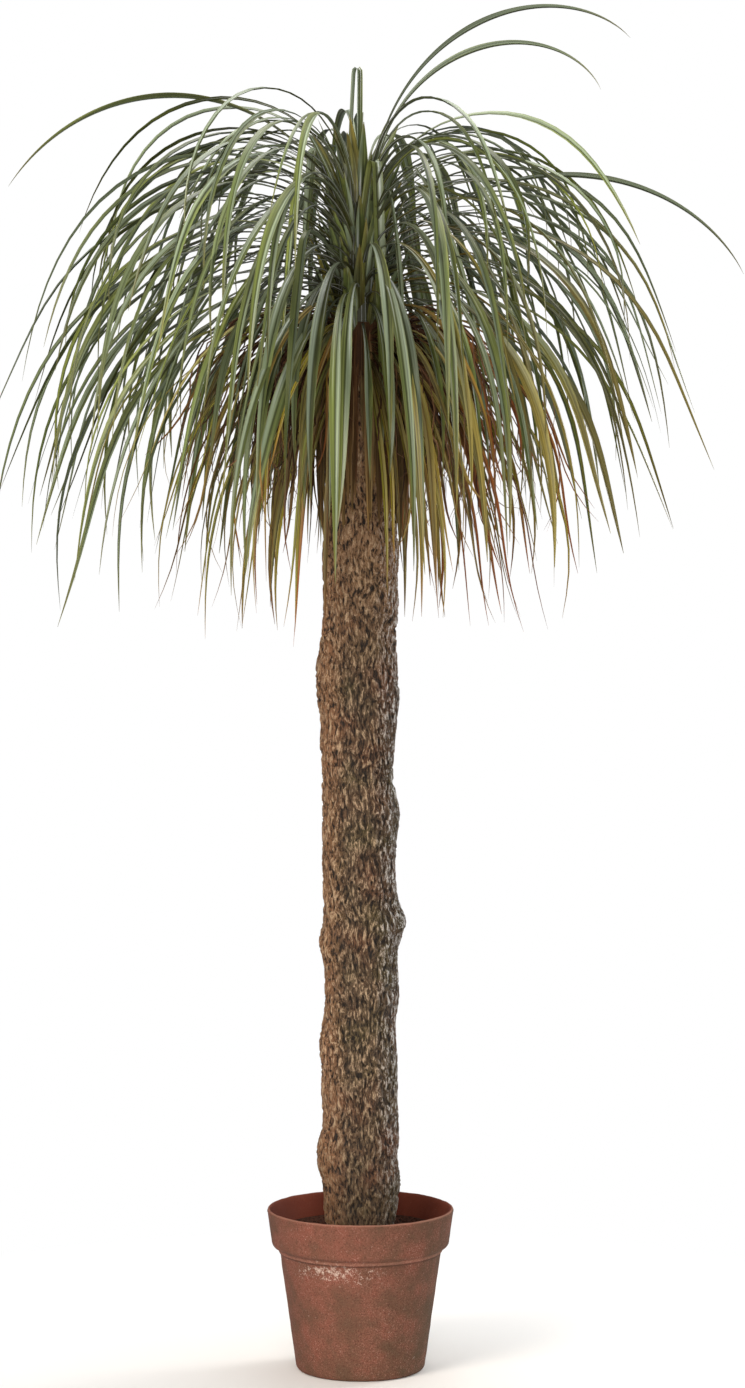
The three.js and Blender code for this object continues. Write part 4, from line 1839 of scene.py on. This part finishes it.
    def roughened(self, bases: Piece) -> Piece:
        """Makes a body of leaf bases uneven and maps it as leaves side by side.

        Args:
            bases: the ring or the cap.

        Returns:
            The same body.
        """
        weighted(bases, "bases", np.ones(len(bases.data.vertices)))
        pitted(bases, grain=7, depth=2.0, group="bases")
        points = points_of(bases)
        turns = np.arctan2(points[:, 1], points[:, 0]) / TURN * self.heart.bases
        across = np.abs(2 * (turns - np.floor(turns)) - 1)
        # The bases read as the foot of a leaf, where the skin paints shade
        mapped(bases, across, np.full(len(points), self.heart.base_share))
        return settled(bases)

    @staticmethod
    def finish(piece: Piece, habit: Habit, skin: Material) -> Piece:
        """Returns the piece with its skin, in place of its solid."""
        return dressed(piece, f"{habit.stage}_leaves", skin)


# ------------------------------------------------------------------------------- studio


@dataclass(frozen=True)
class Softbox:
    """Square soft light: where it stands, its side in metres, its power in watts, its colour."""

    name: str
    place: tuple[float, float, float]
    size: float
    power: float
    colour: str

    def build(self, aim: Vector) -> None:
        """Stands the light and turns it to a point.

        Args:
            aim: the point that it lights.
        """
        light = bpy.data.lights.new(self.name, "AREA")
        light.size = self.size
        light.energy = self.power
        light.color = linear(self.colour)[:3]
        lamp = bpy.data.objects.new(self.name, light)
        lamp.location = self.place
        lamp.rotation_euler = (aim - Vector(self.place)).to_track_quat("-Z", "Y").to_euler()
        bpy.context.scene.collection.objects.link(lamp)


@dataclass
class Studio:
    """Pale floor, white background, soft light and the photograph's camera, in metres.

    The sky has a strength below and above, and the heights on a unit sphere between which
    the one gives way to the other.
    """

    floor_reach: float = 0.8
    room_reach: float = 14.0
    aim: tuple[float, float, float] = (0, 0, 0.9)
    sky: tuple[float, float] = (0.2, 0.52)
    sky_span: tuple[float, float] = (-0.2, 0.9)
    sky_colour: str = "#fbfcff"
    camera_place: tuple[float, float, float] = (0.0134, -4.5, 1.0674)
    camera_pitch: float = -4.02
    lens: float = 106.38
    softboxes: tuple[Softbox, ...] = (
        Softbox("key_light", (-2.4, -2.9, 3.0), 1.6, 126, "#fff4e6"),
        Softbox("front_fill", (0.3, -3.6, 0.8), 1.4, 78, "#fff8f0"),
        Softbox("top_light", (0.2, 0.5, 3.6), 1.6, 60, "#fffdf8"),
        Softbox("edge_light", (2.6, 1.5, 1.6), 1.0, 48, "#fbfaf6"),
    )

    def build(self) -> None:
        """Sets up the stage, the lights and the camera."""
        self.lay_floor()
        self.hang_background()
        self.light_room()
        for softbox in self.softboxes:
            softbox.build(Vector(self.aim))
        self.stand_camera()
        bpy.context.scene.view_settings.view_transform = "Standard"

    def lay_floor(self) -> None:
        """Lays a round white board."""
        chosen()
        bpy.ops.mesh.primitive_circle_add(vertices=96, radius=self.floor_reach, fill_type="NGON")
        floor = bpy.context.active_object
        floor.name = "white_floor"
        floor.data.materials.append(WhiteBoard().material())

    def hang_background(self) -> None:
        """Hangs a lit white background all round, which casts no light on the palm."""
        chosen()
        bpy.ops.mesh.primitive_uv_sphere_add(segments=48, ring_count=24, radius=self.room_reach)
        background = bpy.context.active_object
        background.name = "white_background"
        cloth, node = new_material("lit_white_cloth")
        node(SURFACE, {"Surface": node("ShaderNodeEmission", {"Strength": 1.0})})
        background.data.materials.append(cloth)
        for ray in ("diffuse", "glossy", "transmission", "shadow"):
            setattr(background, f"visible_{ray}", False)

    def light_room(self) -> None:
        """Lights the room evenly, more from above than from below."""
        world = bpy.data.worlds.new("studio")
        world.use_nodes = True
        world.node_tree.nodes.clear()
        node = partial(add_node, world.node_tree)
        way = node("ShaderNodeTexCoord").outputs["Generated"]
        height = node("ShaderNodeSeparateXYZ", {0: way}).outputs["Z"]
        strength = node(RANGE, dict(enumerate((height, *self.sky_span, *self.sky))))
        glow = node("ShaderNodeBackground", {"Color": linear(self.sky_colour), "Strength": strength})
        node("ShaderNodeOutputWorld", {"Surface": glow})
        bpy.context.scene.world = world

    def stand_camera(self) -> None:
        """Stands the camera where the photograph was taken from."""
        camera = bpy.data.cameras.new("camera")
        camera.lens = self.lens
        holder = bpy.data.objects.new("camera", camera)
        holder.location = self.camera_place
        holder.rotation_euler = (math.radians(90 + self.camera_pitch), 0, 0)
        bpy.context.scene.collection.objects.link(holder)
        bpy.context.scene.camera = holder


def report(pieces: list[Piece]) -> None:
    """Logs each piece's name, triangles and height.

    Args:
        pieces: the finished pieces.
    """
    for piece in pieces:
        triangles = sum(len(face.vertices) - 2 for face in piece.data.polygons)
        heights = points_of(piece)[:, 2] / MM
        low, high = heights.min(), heights.max()
        LOG.info("%s: %d triangles, from %.0f to %.0f mm", piece.name, triangles, low, high)


def main() -> None:
    """Builds the palm piece by piece, then the studio round it."""
    logging.basicConfig(level=logging.INFO, format="%(message)s")
    pot = FlowerPot()
    soil = PottingSoil(pot)
    report([pot.build()])
    report(soil.build())
    report([Trunk(soil_top=soil.top).build()])
    report(Foliage(Heart()).build())
    Studio().build()


if __name__ == "__main__":
    main()
